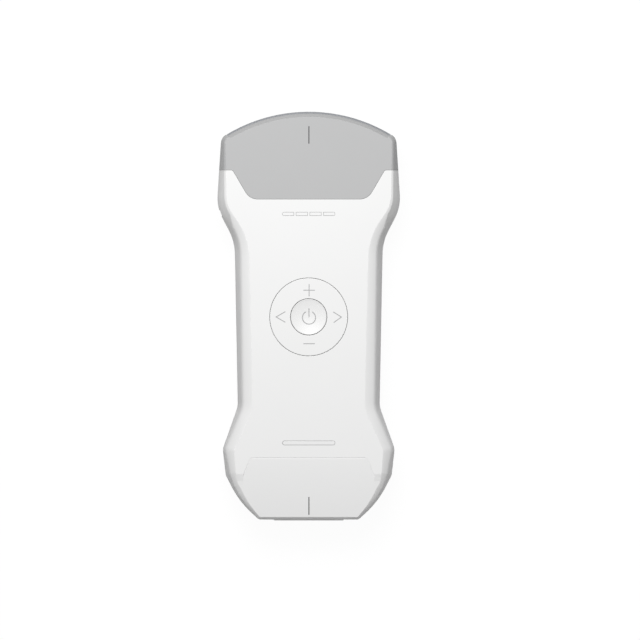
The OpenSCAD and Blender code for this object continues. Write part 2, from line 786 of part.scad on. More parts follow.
// The windows of the lights, grown by a clearance
light_len = (battery_lights_l - (battery_lights_count - 1) * battery_lights_gap) / battery_lights_count;
module battery_windows(grow, low, high) {
    pitch = light_len + battery_lights_gap;
    for (i = [0:battery_lights_count - 1])
        translate([(i - (battery_lights_count - 1) / 2) * pitch, from_tip(battery_lights_at), 0])
            if (i > 0 && i < battery_lights_count - 1)
                block(light_len + 2 * grow, battery_lights_w + 2 * grow, low, high);
            else {
                way = i == 0 ? -1 : 1;
                straight = light_len - battery_lights_w / 2;
                translate([-way * battery_lights_w / 4, 0, 0])
                    block(straight + 2 * grow, battery_lights_w + 2 * grow, low, high);
                translate([way * (light_len - battery_lights_w) / 2, 0, 0])
                    post(battery_lights_w / 2 + grow, low, high);
            }
}
module status_window(grow, low, high) {
    translate([0, from_tail(status_light_at), 0])
        stadium(status_light_l + 2 * grow, status_light_w + 2 * grow, low, high);
}

// The index notch, a shallow vertical groove in the left flank
module index_notch() {
    r = (notch_len ^ 2 / 4 + notch_depth ^ 2) / (2 * notch_depth);
    half = half_outline(0, even_insets(0));
    // The chord between the notch's two ends on the flank
    ends = [for (end = [-1, 1])
        let (y = from_tip(notch_at) + end * notch_len / 2)
        [-lookup_x(half, y), y]];
    chord = ends[1] - ends[0];
    middle = (ends[0] + ends[1]) / 2 + unit([-chord.y, chord.x]) * (r - notch_depth);
    translate([middle.x, middle.y, 0])
        post(r, mid_z - notch_h / 2, mid_z + notch_h / 2);
}

// The groove for the case gasket, and the gasket itself, along one flank
module gasket_run(grow) {
    high = gasket_h + 2 * grow;
    end_x = cover_w / 2 + cover_pin_seat + wall - grow;
    end_y = from_tip(head_border_at);
    outer = half_outline(gasket_inset - grow, even_insets(gasket_inset - grow));
    inset = gasket_inset + gasket_w + grow;
    inner = half_outline(inset, even_insets(inset));
    outer_run = [for (p = outer) if (p.y < end_y && p.x > end_x) p];
    inner_run = [for (p = inner) if (p.y < end_y && p.x > end_x) p];
    translate([0, 0, mid_z - high / 2])
        linear_extrude(high)
            difference() {
                polygon(concat(
                    [[lookup_x(outer, end_y), end_y]],
                    outer_run,
                    [[end_x, outer[len(outer) - 1].y], [end_x, inner[len(inner) - 1].y]],
                    [for (i = [len(inner_run) - 1:-1:0]) inner_run[i]],
                    [[lookup_x(inner, end_y), end_y]]
                ));
                head_area(wall - grow);
            }
}
// Half width of an outline at a level y on its flank
function lookup_x(half, y) =
    let (flank = [for (p = half) if (p.x > tail_w / 2) [p.y, p.x]])
    lookup(y, [for (i = [len(flank) - 1:-1:0]) flank[i]]);

module front_shell() {
    color("whitesmoke")
    difference() {
        union() {
            difference() {
                case_cup();
                facet_cutter();
            }
            at_case_screws([case_screw_head_y])
                post(insert_boss_r, mid_z + head_lug_t / 2, front_in_z + root);
            at_case_screws([case_screw_tail_y])
                post(insert_boss_r, mid_z, front_in_z + root);
            at_keypad_screws() post(keypad_post_r, keypad_top, front_in_z + root);
            translate([0, keys_y, 0]) post(membrane_r, membrane_top, front_in_z + root);
            port_frame();
        }
        linear_extrude(thickness + over) head_area(seam);
        translate([0, keys_y, 0]) {
            post(membrane_r - clamp_rim_t, membrane_top - over, front_in_z);
            post(rocker_hole_r, front_in_z - over, thickness + over);
        }
        battery_windows(lay_gap, front_in_z - over, thickness + over);
        status_window(lay_gap, front_in_z - over, thickness + over);
        at_case_screws([case_screw_head_y])
            post(insert_r + screw_gap, mid_z - over, mid_z + head_lug_t / 2 + insert_len);
        at_case_screws([case_screw_tail_y])
            post(insert_r + screw_gap, mid_z - over, mid_z + insert_len);
        at_case_screws(case_screw_ys)
            post(case_screw_r + screw_gap, mid_z, mid_z + head_lug_t / 2 + insert_len + 2 * screw_overreach);
        at_keypad_screws()
            post(keypad_screw_r + screw_gap, keypad_top - over, front_in_z - root);
        port_recess();
        index_notch();
        both_sides() gasket_run(lay_gap);
    }
}

module rear_shell() {
    color("gainsboro")
    difference() {
        union() {
            turn_over()
                difference() {
                    case_cup();
                    facet_cutter();
                }
            turn_over() port_frame();
            at_case_screws([case_screw_head_y])
                post(well_boss_r, wall - root, mid_z - head_lug_t / 2);
            at_case_screws([case_screw_tail_y])
                post(well_boss_r, wall - root, mid_z);
            at_board_screws([board_screw_neck_y, board_screw_tail_y])
                post(post_r, wall - root, board_at);
        }
        linear_extrude(thickness + over) head_area(seam);
        at_case_screws(case_screw_ys) {
            post(well_r, -over, well_depth);
            post(case_screw_r + screw_gap, -over, mid_z + over);
        }
        at_board_screws([board_screw_neck_y, board_screw_tail_y])
            post(board_screw_r + screw_gap, board_at - board_screw_grip - root, board_at + over);
        port_recess();
        index_notch();
        both_sides() gasket_run(lay_gap);
    }
}

// A sector round the array's centre, from one angle to its mirror image
module array_sector(r_in, r_out, w, angle) {
    translate([0, arc_y, mid_z])
        rotate([0, 0, 90 - angle])
            rotate_extrude(angle = 2 * angle, $fn = 3 * round_facets)
                translate([r_in, -w / 2])
                    square([r_out - r_in, w]);
}

// Plan of the head's lugs, which reach back between the bosses of the case halves
lug_hold_w = 7;
// The lugs stay inside the case gasket
lug_inset = gasket_inset + gasket_w + lay_gap;
module head_lug() {
    x = case_screw_w / 2;
    half = lug_hold_w / 2;
    screw_y = case_screw_head_y;
    border_y = from_tip(head_border_at);
    edge_x = lookup_x(half_outline(wall, even_insets(wall)), border_y);
    linear_extrude(head_lug_t)
        difference() {
            intersection() {
                polygon([
                    [x - half, screw_y - half], [x + half, screw_y - half], [x + half, border_y - wall],
                    [edge_x + root, border_y + wall], [edge_x + root, border_y + lug_hold_w - wall / 2],
                    [x - half, border_y - wall]
                ]);
                polygon(half_outline(lug_inset, even_insets(lug_inset)));
            }
            translate([x, screw_y]) circle(r = case_screw_r + screw_gap);
        }
}

module head_shell() {
    color("darkgray")
    difference() {
        union() {
            intersection() {
                difference() {
                    case_form(0, 0, 0, thickness);
                    case_form(wall, wall * hollow_rim_share, wall, front_in_z);
                }
                linear_extrude(thickness) head_area(0);
            }
            both_sides()
                translate([0, 0, mid_z - head_lug_t / 2]) head_lug();
            at_array_screws() post(carrier_lug_r, wall - root, carrier_lug_z);
            at_board_screws([board_screw_head_y]) post(post_r, wall - root, board_at);
        }
        array_sector(nose_r - window_reach * wall, lens_r + over,
            lens_w + 2 * lay_gap, lens_angle + lay_angle);
        at_array_screws()
            post(board_screw_r + screw_gap, carrier_lug_z - board_screw_grip - root, carrier_lug_z + over);
        at_board_screws([board_screw_head_y])
            post(board_screw_r + screw_gap, board_at - board_screw_grip - root, board_at + over);
    }
}
// How many walls deep the window for the lens is cut
window_reach = 3;
// Half the angles that the lens and the elements cover, and the angle of the carrier's screws,
// which keep clear of the head's lugs
lens_end_x = head_w / 2 - lens_end_w;
lens_angle = asin(lens_end_x / lens_r);
array_angle = asin((lens_end_x - array_end_w) / lens_r);
carrier_screw_x = case_screw_w / 2 - lug_hold_w / 2 - root - carrier_lug_r;
carrier_screw_angle = asin(carrier_screw_x / carrier_screw_r);
// Clearance at the ends of the lens as an angle
lay_angle = lay_gap / lens_r * 180 / PI;
// Overrun of a cut at the ends of the array as an angle
over_angle = over / lens_r * 180 / PI;
carrier_lug_z = mid_z - carrier_lug_t / 2;

module shell_gasket() {
    color("dimgray")
    both_sides() gasket_run(0);
}

// A band inside the walls that follows the head's border
module head_gasket() {
    color("dimgray")
    intersection() {
        difference() {
            case_form(wall + lay_gap, wall * hollow_rim_share + lay_gap,
                wall + lay_gap, front_in_z - lay_gap);
            case_form(wall + head_gasket_t, wall * hollow_rim_share + head_gasket_t,
                wall + head_gasket_t, front_in_z - head_gasket_t);
            for (side = [-1, 1])
                translate([side * case_screw_w / 2, 0, mid_z - head_lug_t / 2 - lay_gap])
                    block(head_w / 2 - wall, length, 0, head_lug_t + 2 * lay_gap);
        }
        linear_extrude(thickness)
            difference() {
                head_area(seam / 2 + head_gasket_w / 2);
                head_area(seam / 2 - head_gasket_w / 2);
            }
    }
}

// Radii of the array's layers, from the lens inwards
matching_r = lens_r - lens_t - bond;
piezo_r = matching_r - matching_t - bond;
backing_r = piezo_r - piezo_t - bond;
backing_in_r = backing_r - backing_depth;
carrier_in_r = backing_in_r - bond - carrier_web;

// Steps across the lens
lens_steps = 8;
module acoustic_lens() {
    color("slategray")
    translate([0, arc_y, mid_z])
        rotate([0, 0, 90 - lens_angle])
            rotate_extrude(angle = 2 * lens_angle, $fn = 3 * round_facets)
                polygon(concat(
                    [[lens_r - lens_t, -lens_w / 2]],
                    [for (k = [0:lens_steps])
                        let (z = lens_w * (k / lens_steps - 1 / 2))
                        [lens_r - lens_cross_r + sqrt(lens_cross_r ^ 2 - z ^ 2), z]],
                    [[lens_r - lens_t, lens_w / 2]]
                ));
}
module matching_layer() {
    color("goldenrod")
    array_sector(matching_r - matching_t, matching_r, array_w, array_angle);
}
module piezo_array() {
    pitch = 2 * array_angle / element_count;
    half_angle = pitch / 2 - kerf / piezo_r * 90 / PI;
    color("olivedrab")
    translate([0, arc_y, 0])
        for (i = [0:element_count - 1])
            rotate([0, 0, (i - (element_count - 1) / 2) * pitch])
                translate([0, -arc_y, 0])
                    array_sector(piezo_r - piezo_t, piezo_r, array_w, half_angle);
}
module backing_block() {
    color("darkslategray")
    array_sector(backing_in_r, backing_r, array_w, array_angle);
}
module array_carrier() {
    color("silver")
    difference() {
        union() {
            array_sector(carrier_in_r, nose_r - wall - lay_gap,
                array_w + 2 * (lay_gap + carrier_cheek), array_angle);
            at_array_screws() {
                post(carrier_lug_r, carrier_lug_z, carrier_lug_z + carrier_lug_t);
                translate([0, carrier_lug_r, 0])
                    block(2 * carrier_lug_r, 2 * carrier_lug_r, carrier_lug_z, carrier_lug_z + carrier_lug_t);
            }
        }
        array_sector(backing_in_r - bond, lens_r, array_w + 2 * lay_gap, array_angle + over_angle);
        at_array_screws()
            post(board_screw_r + screw_gap, carrier_lug_z - over, carrier_lug_z + carrier_lug_t + over);
    }
}
module pan_screw(r, head_r, head_h, head_z, tip_z) {
    slot_w = r * slot_w_share;
    slot_z = head_z + head_h * (1 - slot_w_share);
    difference() {
        union() {
            post(r, tip_z, head_z + root);
            post(head_r, head_z, head_z + head_h);
        }
        for (turn = [0, 90])
            rotate([0, 0, turn])
                block(head_r * slot_l_share, slot_w, slot_z, head_z + head_h + over);
    }
}
// Cross recess of a screw: shares of the shank's radius and of the head's radius
slot_w_share = 0.5;
slot_l_share = 1.2;
module array_screws() {
    color("lightsteelblue")
    at_array_screws()
        pan_screw(board_screw_r, board_screw_head_r, board_screw_head_h,
            carrier_lug_z + carrier_lug_t, carrier_lug_z - board_screw_grip);
}
// The array's flexible circuit, from the carrier's web down to its connector on the analog board:
// its length up to the bend, the bend's length, and the length and the height of its connector
flex_run = 12;
flex_step = 4;
flex_plug_l = 4;
flex_plug_h = 1.2;
board_top = board_at + board_t;
// The analog board ends just past its screws
analog_front_y = board_screw_head_y + post_r;
module array_flex() {
    start = arc_y + carrier_in_r;
    low = board_top + flex_plug_h;
    high = mid_z - flex_t / 2;
    end = analog_front_y - flex_plug_l;
    color("peru") {
        intersection() {
            translate([-flex_w / 2, 0, 0])
                rotate([90, 0, 90])
                    linear_extrude(flex_w)
                        polygon([
                            [start, high], [end + flex_run, high], [end + flex_run - flex_step, low],
                            [end, low], [end, low + flex_t], [end + flex_run - flex_step, low + flex_t],
                            [end + flex_run, high + flex_t], [start, high + flex_t]
                        ]);
            translate([0, arc_y, 0]) post(carrier_in_r - lay_gap, board_at, thickness);
        }
        translate([0, analog_front_y - flex_plug_l / 2, 0])
            block(flex_w, flex_plug_l, board_top, low);
    }
}

module rocker_ring() {
    color("white")
    translate([0, keys_y, 0])
        difference() {
            union() {
                post(rocker_d / 2, rocker_low, thickness);
                post(rocker_d / 2 + rocker_flange_w, rocker_low, rocker_flange_top);
                for (turn = [0:90:270])
                    rotate([0, 0, turn])
                        translate([pusher_at, 0, 0])
                            post(pusher_r, rocker_low - pusher_len, rocker_flange_top);
            }
            post(power_d / 2 + key_gap, rocker_low - over, thickness + over);
        }
}
module rocker_carrier() {
    color("lightgray")
    translate([0, keys_y, 0]) {
        difference() {
            post(rocker_carrier_d / 2, carrier_low, carrier_top);
            post(rocker_carrier_hole_r, carrier_low - over, carrier_top + over);
            for (turn = [0:90:270])
                rotate([0, 0, turn])
                    translate([pusher_at, 0, 0])
                        post(pusher_r + 2 * key_gap, carrier_low - over, carrier_top + over);
        }
        for (side = [-1, 1]) {
            translate([side * pivot_at, 0, 0])
                block(pivot_len, pivot_w, carrier_low, carrier_top + upper_pivot_h);
            translate([0, side * pivot_at, 0])
                block(pivot_w, pivot_len, carrier_low - lower_pivot_h, carrier_top);
        }
    }
}
module power_button() {
    flange_top = carrier_top + lay_gap;
    flange_low = flange_top - power_flange_t;
    dish_z = thickness - power_dish_r + sqrt(power_dish_r ^ 2 - (power_d / 2) ^ 2);
    color("white")
    translate([0, keys_y, 0])
        difference() {
            union() {
                difference() {
                    union() {
                        post(power_d / 2, flange_low, thickness);
                        post(power_d / 2 + power_flange_w, flange_low, flange_top);
                    }
                    post(power_d / 2 - power_wall, flange_low - over, front_in_z - root);
                }
                post(power_stem_r, membrane_top + power_travel + screw_gap, front_in_z);
            }
            translate([0, 0, dish_z + power_dish_r])
                sphere(r = power_dish_r, $fn = 2 * round_facets);
        }
}
module keypad_membrane() {
    color("lightslategray")
    translate([0, keys_y, 0])
        difference() {
            post(membrane_r, membrane_low, membrane_top);
            at_domes() post(dome_r + key_gap, membrane_low - over, membrane_low + dome_h + lay_gap);
        }
}
module at_domes() {
    children();
    for (turn = [0:90:270])
        rotate([0, 0, turn])
            translate([pusher_at, 0, 0]) children();
}
module tact_domes() {
    outer_r = (dome_r ^ 2 + dome_h ^ 2) / (2 * dome_h);
    color("gold")
    translate([0, keys_y, keypad_top])
        at_domes()
            rotate_extrude()
                intersection() {
                    difference() {
                        translate([0, dome_h - outer_r]) circle(r = outer_r, $fn = 6 * round_facets);
                        translate([0, dome_h - outer_r]) circle(r = outer_r - dome_t, $fn = 6 * round_facets);
                    }
                    square([dome_r, dome_h]);
                }
}
// Ends of the keypad board and the rounding of its corners
keypad_board_front = from_tip(battery_lights_at) + keypad_board_end;
keypad_board_back = from_tail(status_light_at) - keypad_board_end;
keypad_board_r = 2;
module keypad_board() {
    color("seagreen")
    difference() {
        translate([0, 0, keypad_low])
            linear_extrude(keypad_board_t)
                polygon(rounded_loop([
                    [[keypad_board_w / 2, keypad_board_front], keypad_board_r],
                    [[keypad_board_w / 2, keypad_board_back], keypad_board_r],
                    [[-keypad_board_w / 2, keypad_board_back], keypad_board_r],
                    [[-keypad_board_w / 2, keypad_board_front], keypad_board_r]
                ], border_steps));
        at_keypad_screws() post(keypad_screw_r + screw_gap, keypad_low - over, keypad_top + over);
    }
}
module keypad_screws() {
    color("lightsteelblue")
    at_keypad_screws()
        translate([0, 0, keypad_low])
            mirror([0, 0, 1])
                pan_screw(keypad_screw_r, keypad_screw_head_r, keypad_screw_head_h,
                    0, keypad_low - front_in_z + wall);
}
// How far the keypad's cable bends out towards the tail
keypad_cable_step = 3;
module keypad_cable() {
    start = keypad_board_back + keypad_board_end;
    drop = start - keypad_cable_step;
    low = board_top + flex_plug_h;
    color("peru") {
        translate([-keypad_cable_w / 2, 0, 0])
            rotate([90, 0, 90])
                linear_extrude(keypad_cable_w)
                    polygon([
                        [start, keypad_low - flex_t], [drop + flex_t, keypad_low - flex_t],
                        [drop + flex_t, low + flex_t], [start, low + flex_t],
                        [start, low], [drop, low], [drop, keypad_low], [start, keypad_low]
                    ]);
        translate([0, start, 0])
            block(keypad_cable_w, flex_plug_l, board_top, low);
    }
}
module indicator_lamps() {
    pitch = light_len + battery_lights_gap;
    status_pitch = status_light_l / status_lamp_count;
    color("khaki") {
        for (i = [0:battery_lights_count - 1])
            translate([(i - (battery_lights_count - 1) / 2) * pitch, from_tip(battery_lights_at), 0])
                block(lamp_l, lamp_w, keypad_top, keypad_top + lamp_h);
        for (i = [0:status_lamp_count - 1])
            translate([(i - (status_lamp_count - 1) / 2) * status_pitch, from_tail(status_light_at), 0])
                block(lamp_l, lamp_w, keypad_top, keypad_top + lamp_h);
    }
}
guide_low = keypad_top + lamp_h + lay_gap;
guide_high = front_in_z - lay_gap;
module battery_light_guide() {
    color("ghostwhite") {
        battery_windows(0, guide_high - root, thickness);
        translate([0, from_tip(battery_lights_at), 0])
            block(battery_lights_l + 2 * guide_lip, battery_lights_w + 2 * guide_lip, guide_low, guide_high);
    }
}
module status_light_guide() {
    color("ghostwhite") {
        status_window(0, guide_high - root, thickness);
        translate([0, from_tail(status_light_at), 0])
            block(status_light_l + 2 * guide_lip, status_light_w + 2 * guide_lip, guide_low, guide_high);
    }
}

// The boards
main_back_y = recess_y + wall;
analog_back_y = analog_front_y - analog_board_l;
main_front_y = analog_back_y - boards_gap;
module board_plate(low_y, high_y, back_w, taper) {
    translate([0, 0, board_at])
        linear_extrude(board_t)
            polygon([
                [board_w / 2, high_y], [board_w / 2, low_y + taper], [back_w / 2, low_y],
                [-back_w / 2, low_y], [-board_w / 2, low_y + taper], [-board_w / 2, high_y]
            ]);
}
module main_board() {
    color("seagreen")
    difference() {
        board_plate(main_back_y, main_front_y, main_board_tail_w, main_board_taper);
        at_board_screws([board_screw_tail_y])
            post(board_screw_r + screw_gap, board_at - over, board_top + over);
    }
}
module analog_board() {
    color("seagreen")
    difference() {
        board_plate(analog_back_y, analog_front_y, board_w, 0);
        at_board_screws([board_screw_head_y, board_screw_neck_y])
            post(board_screw_r + screw_gap, board_at - over, board_top + over);
    }
}
module board_link() {
    color("black")
    translate([0, (main_front_y + analog_back_y) / 2, 0])
        block(link_w, link_l + boards_gap, board_top, board_top + link_h);
}
// Places of the chips: shares of the boards' width to each side, and rows that keep clear of the
// board screws and of the connector between the boards
chip_x_shares = [-0.22, 0.22];
chip_clear = board_screw_head_r;
chip_rows = [
    (board_screw_head_y + board_screw_neck_y) / 2,
    main_front_y - (link_l + chip_side) / 2 - lay_gap,
    board_screw_tail_y + chip_clear + root + chip_side / 2
];
small_chip_rows = [analog_back_y + (link_l + small_chip_side) / 2 + chip_clear];
module chip_places(rows) {
    for (x = chip_x_shares, y = rows)
        translate([x * board_w, y, 0]) children();
}
module board_chips() {
    color("dimgray") {
        chip_places(chip_rows) block(chip_side, chip_side, board_top, board_top + chip_h);
        chip_places(small_chip_rows) block(small_chip_side, small_chip_side, board_top, board_top + chip_h);
    }
}
spreader_low = board_top + chip_h + pad_t;
spreader_top = spreader_low + spreader_t;
module thermal_pads() {
    color("lightblue")
    chip_places(chip_rows)
        block(chip_side, chip_side, board_top + chip_h, spreader_low);
}
module heat_spreader() {
    front = analog_front_y;
    back = board_screw_tail_y - post_r;
    color("silver")
    difference() {
        translate([0, (front + back) / 2, 0])
            block(spreader_w, front - back, spreader_low, spreader_top);
        at_board_screws(board_screw_ys)
            post(board_screw_r + screw_gap, spreader_low - over, spreader_top + over);
    }
}
module board_spacers() {
    color("silver")
    at_board_screws(board_screw_ys)
        difference() {
            post(post_r, board_top, spreader_low);
            post(board_screw_r + screw_gap, board_top - over, spreader_low + over);
        }
}
module board_screws() {
    color("lightsteelblue")
    at_board_screws(board_screw_ys)
        pan_screw(board_screw_r, board_screw_head_r, board_screw_head_h,
            spreader_top, board_at - board_screw_grip);
}
// Distance from the port cover up to the shield can and the antenna
shield_at = 20.2;
module shield_can() {
    color("silver")
    translate([-board_screw_w / 4, from_tail(shield_at), 0])
        difference() {
            block(shield_w, shield_l, board_top, board_top + shield_h);
            block(shield_w - 2 * sheet_t, shield_l - 2 * sheet_t,
                board_top - over, board_top + shield_h - sheet_t);
        }
}
module wifi_antenna() {
    color("tan")
    translate([board_screw_w / 4, from_tail(shield_at) + shield_l / 2, 0])
        rotate([90, 0, 0])
            linear_extrude(antenna_l)
                polygon([
                    [0, board_top], [sheet_t, board_top], [sheet_t, board_top + antenna_h - sheet_t],
                    [antenna_w, board_top + antenna_h - sheet_t], [antenna_w, board_top + antenna_h],
                    [0, board_top + antenna_h]
                ]);
}

// The power supply
cell_low = wall + cradle_floor;
cell_l = length - cell_at - cell_tail_at;
cell_y = from_tip(cell_at) - cell_l / 2;
// Rounding of the cell's corners
cell_r = 2;
module battery_cell() {
    color("lightsteelblue")
    translate([0, cell_y, cell_low])
        linear_extrude(cell_t)
            polygon(rounded_loop([
                [[cell_w / 2, cell_l / 2], cell_r], [[cell_w / 2, -cell_l / 2], cell_r],
                [[-cell_w / 2, -cell_l / 2], cell_r], [[-cell_w / 2, cell_l / 2], cell_r]
            ], border_steps));
}
module battery_cradle() {
    w = cell_w + 2 * lay_gap;
    l = cell_l + 2 * lay_gap;
    gate = wire_pitch + 4 * wire_r;
    color("gray")
    translate([0, cell_y, 0])
        difference() {
            block(w + 2 * cradle_wall, l + 2 * cradle_wall, wall, wall + cradle_h);
            block(w, l, cell_low, wall + cradle_h + over);
            translate([0, -cell_l / 2, 0])
                block(gate, 4 * cradle_wall, wire_z - 2 * wire_r, wall + cradle_h + over);
        }
}
// Distance from the port cover up to the battery's connector, and the height of its wires
battery_plug_at = 32.2;
battery_plug_y = from_tail(battery_plug_at);
wire_z = cell_low + cell_t / 2;
module battery_lead() {
    start = cell_y - cell_l / 2;
    end = battery_plug_y + battery_plug_l / 2;
    bend = (start + end) / 2;
    high = board_at - battery_plug_h / 2;
    color("firebrick")
    for (side = [-1, 1])
        translate([side * wire_pitch / 2, 0, 0]) {
            wire([0, start, wire_z], [0, bend, wire_z]);
            wire([0, bend, wire_z], [0, bend, high]);
            wire([0, bend, high], [0, end, high]);
            translate([0, bend, wire_z]) sphere(r = wire_r);
            translate([0, bend, high]) sphere(r = wire_r);
        }
}
module wire(from, to) {
    way = to - from;
    translate(from)
        rotate([0, acos(way.z / norm(way)), atan2(way.y, way.x)])
            cylinder(r = wire_r, h = norm(way));
}
module battery_connector() {
    color("ivory")
    translate([0, battery_plug_y, 0])
        block(battery_plug_w, battery_plug_l, board_at - battery_plug_h, board_at);
}

module socket_outline(grow) {
    w = socket_w + 2 * grow;
    h = socket_h + 2 * grow;
    square([w - h, h], center = true);
    for (side = [-1, 1])
        translate([side * (w - h) / 2, 0]) circle(r = h / 2);
}
socket_z = board_top + socket_h / 2;
module usb_c_shell() {
    color("silver")
    translate([0, recess_y, socket_z])
        rotate([-90, 0, 0])
            difference() {
                linear_extrude(socket_depth) socket_outline(0);
                translate([0, 0, -over])
                    linear_extrude(socket_depth - socket_t + over) socket_outline(-socket_t);
            }
}
module usb_c_tongue() {
    color("dimgray")
    translate([0, recess_y + tongue_back, socket_z])
        rotate([-90, 0, 0])
            linear_extrude(socket_depth - socket_t - tongue_back)
                square([tongue_w, tongue_t], center = true);
}
module port_cover() {
    color("gainsboro")
    difference() {
        union() {
            translate([0, cover_axis_y, 0])
                block(cover_w, cover_t, cover_low_z, cover_axis_z);
            translate([0, cover_axis_y, cover_axis_z])
                rotate([0, 90, 0])
                    post(cover_t / 2, -cover_w / 2, cover_w / 2);
        }
        translate([0, cover_axis_y, cover_axis_z])
            rotate([0, 90, 0])
                post(cover_pin_r + screw_gap, -cover_w, cover_w);
        translate([0, -length / 2, cover_low_z])
            rotate([0, 90, 0])
                post(cover_grip_r, -cover_grip_w / 2, cover_grip_w / 2);
    }
}
module port_hinge_pin() {
    half = cover_w / 2 + cover_pin_seat - screw_gap;
    color("silver")
    translate([0, cover_axis_y, cover_axis_z])
        rotate([0, 90, 0])
            post(cover_pin_r, -half, half);
}

module case_screws() {
    color("lightsteelblue")
    for (pair = [[case_screw_head_y, head_lug_t / 2], [case_screw_tail_y, 0]])
        at_case_screws([pair[0]])
            translate([0, 0, well_depth])
                mirror([0, 0, 1])
                    pan_screw(case_screw_r, case_screw_head_r, case_screw_head_h,
                        0, well_depth - mid_z - pair[1] - insert_len - screw_overreach);
}
module threaded_inserts() {
    color("gold")
    for (pair = [[case_screw_head_y, head_lug_t / 2], [case_screw_tail_y, 0]])
        at_case_screws([pair[0]])
            difference() {
                post(insert_r, mid_z + pair[1], mid_z + pair[1] + insert_len - screw_gap);
                post(case_screw_r + screw_gap, mid_z - over, mid_z + pair[1] + insert_len + over);
            }
}
module screw_plugs() {
    color("gainsboro")
    at_case_screws(case_screw_ys)
        post(well_r - screw_gap, lay_gap, lay_gap + plug_t);
}

front_shell();
rear_shell();
head_shell();
shell_gasket();
head_gasket();
acoustic_lens();
matching_layer();
piezo_array();
backing_block();
array_carrier();
array_screws();
array_flex();
rocker_ring();
rocker_carrier();
power_button();
keypad_membrane();
tact_domes();
keypad_board();
keypad_screws();
keypad_cable();
indicator_lamps();
battery_light_guide();
status_light_guide();
main_board();
analog_board();
board_link();
board_chips();
shield_can();
wifi_antenna();
board_screws();
board_spacers();
heat_spreader();
thermal_pads();
battery_cell();
battery_cradle();
battery_lead();
battery_connector();
usb_c_shell();
usb_c_tongue();
port_cover();
port_hinge_pin();
case_screws();
threaded_inserts();
screw_plugs();
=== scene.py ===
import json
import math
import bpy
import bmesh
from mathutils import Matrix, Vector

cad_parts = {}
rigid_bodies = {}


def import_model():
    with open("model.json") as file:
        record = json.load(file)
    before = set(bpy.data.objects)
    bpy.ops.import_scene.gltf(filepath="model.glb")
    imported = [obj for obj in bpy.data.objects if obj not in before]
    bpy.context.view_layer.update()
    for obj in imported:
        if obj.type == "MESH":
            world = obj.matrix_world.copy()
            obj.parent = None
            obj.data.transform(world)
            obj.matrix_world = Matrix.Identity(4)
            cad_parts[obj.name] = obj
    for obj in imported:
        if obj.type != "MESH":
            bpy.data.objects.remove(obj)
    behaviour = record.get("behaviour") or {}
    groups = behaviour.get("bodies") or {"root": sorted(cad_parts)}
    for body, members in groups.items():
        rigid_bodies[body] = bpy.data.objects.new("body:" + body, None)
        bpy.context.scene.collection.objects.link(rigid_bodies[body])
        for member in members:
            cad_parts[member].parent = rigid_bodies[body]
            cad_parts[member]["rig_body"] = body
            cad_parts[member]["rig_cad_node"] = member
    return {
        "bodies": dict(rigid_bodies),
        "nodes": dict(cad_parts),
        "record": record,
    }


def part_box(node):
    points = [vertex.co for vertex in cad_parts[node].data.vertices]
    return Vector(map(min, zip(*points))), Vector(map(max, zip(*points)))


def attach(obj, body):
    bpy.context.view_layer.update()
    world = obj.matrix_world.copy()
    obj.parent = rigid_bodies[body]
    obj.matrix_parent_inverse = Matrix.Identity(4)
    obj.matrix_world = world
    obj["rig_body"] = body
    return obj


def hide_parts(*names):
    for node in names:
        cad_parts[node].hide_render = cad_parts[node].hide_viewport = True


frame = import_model()

# %% [markdown]
# # A handheld ultrasound scanner, dressed for its portrait
#
# The imported CAD model is the skeleton: 44 pieces at their true places, in metres, with the
# moving keys and the port cover on bodies of their own. This lesson gives it its looks. The
# outer skins are drawn again with fine roundings, the keys get their rounded edges and their
# printed icons, and every piece, the hidden ones too, gets a finish made of nodes.
#
# The thickness of the CAD model is kept now, and the dressed model stays within its box.

MM = 0.001
# In millimetres: the thickness of the scanner and the height of its parting line
THICK = 25.0
PARTING = THICK / 2

kept = set(frame["nodes"].values()) | set(frame["bodies"].values())
for left_over in [o for o in bpy.context.scene.objects if o not in kept]:
    bpy.data.objects.remove(left_over)
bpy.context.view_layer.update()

# %% [markdown]
# ## The camera
#
# The picture looks straight down on the face of the scanner with its nose up. The object
# hardly shows any perspective, so the camera stands far away with a long lens. The frame is
# 244.7 mm wide at the level of the parting line, and its middle lies a little to the right of
# and below the scanner's own middle.

# %% Camera
VIEW_W = 244.7 * MM
DISTANCE = 5.0

camera_data = bpy.data.cameras.new("camera")
camera_data.sensor_width = 36.0
camera_data.lens = camera_data.sensor_width * DISTANCE / VIEW_W
camera_data.clip_end = 20.0
camera = bpy.data.objects.new("camera", camera_data)
bpy.context.scene.collection.objects.link(camera)
camera.location = (4.31 * MM, -1.52 * MM, PARTING * MM + DISTANCE)
bpy.context.scene.camera = camera
bpy.context.scene.view_settings.view_transform = "Standard"
print("lens in mm:", round(camera_data.lens, 1))

# %% [markdown]
# ## Shader sums written as sums
#
# A finish is mostly arithmetic on patterns: so much of this noise, a little less where that
# mask is. `Wire` wraps the socket of a node, so that `noise * 0.2 + 0.3` builds the Math nodes
# by itself. `Finish` holds one material. Its one method `node` makes any other node from its
# type, its settings and the values or wires of its sockets.

# %% Wire and Finish
class Wire:
    def __init__(self, tree, socket):
        self.tree, self.socket = tree, socket

    def math(self, operation, other):
        node = self.tree.nodes.new("ShaderNodeMath")
        node.operation = operation
        plug(self.tree, node.inputs[0], self)
        plug(self.tree, node.inputs[1], other)
        return Wire(self.tree, node.outputs[0])

    def __add__(self, other): return self.math("ADD", other)
    def __sub__(self, other): return self.math("SUBTRACT", other)
    def __mul__(self, other): return self.math("MULTIPLY", other)
    def __gt__(self, other): return self.math("GREATER_THAN", other)
    def __lt__(self, other): return self.math("LESS_THAN", other)


def plug(tree, place, value):
    if isinstance(value, Wire):
        tree.links.new(value.socket, place)
    else:
        place.default_value = value


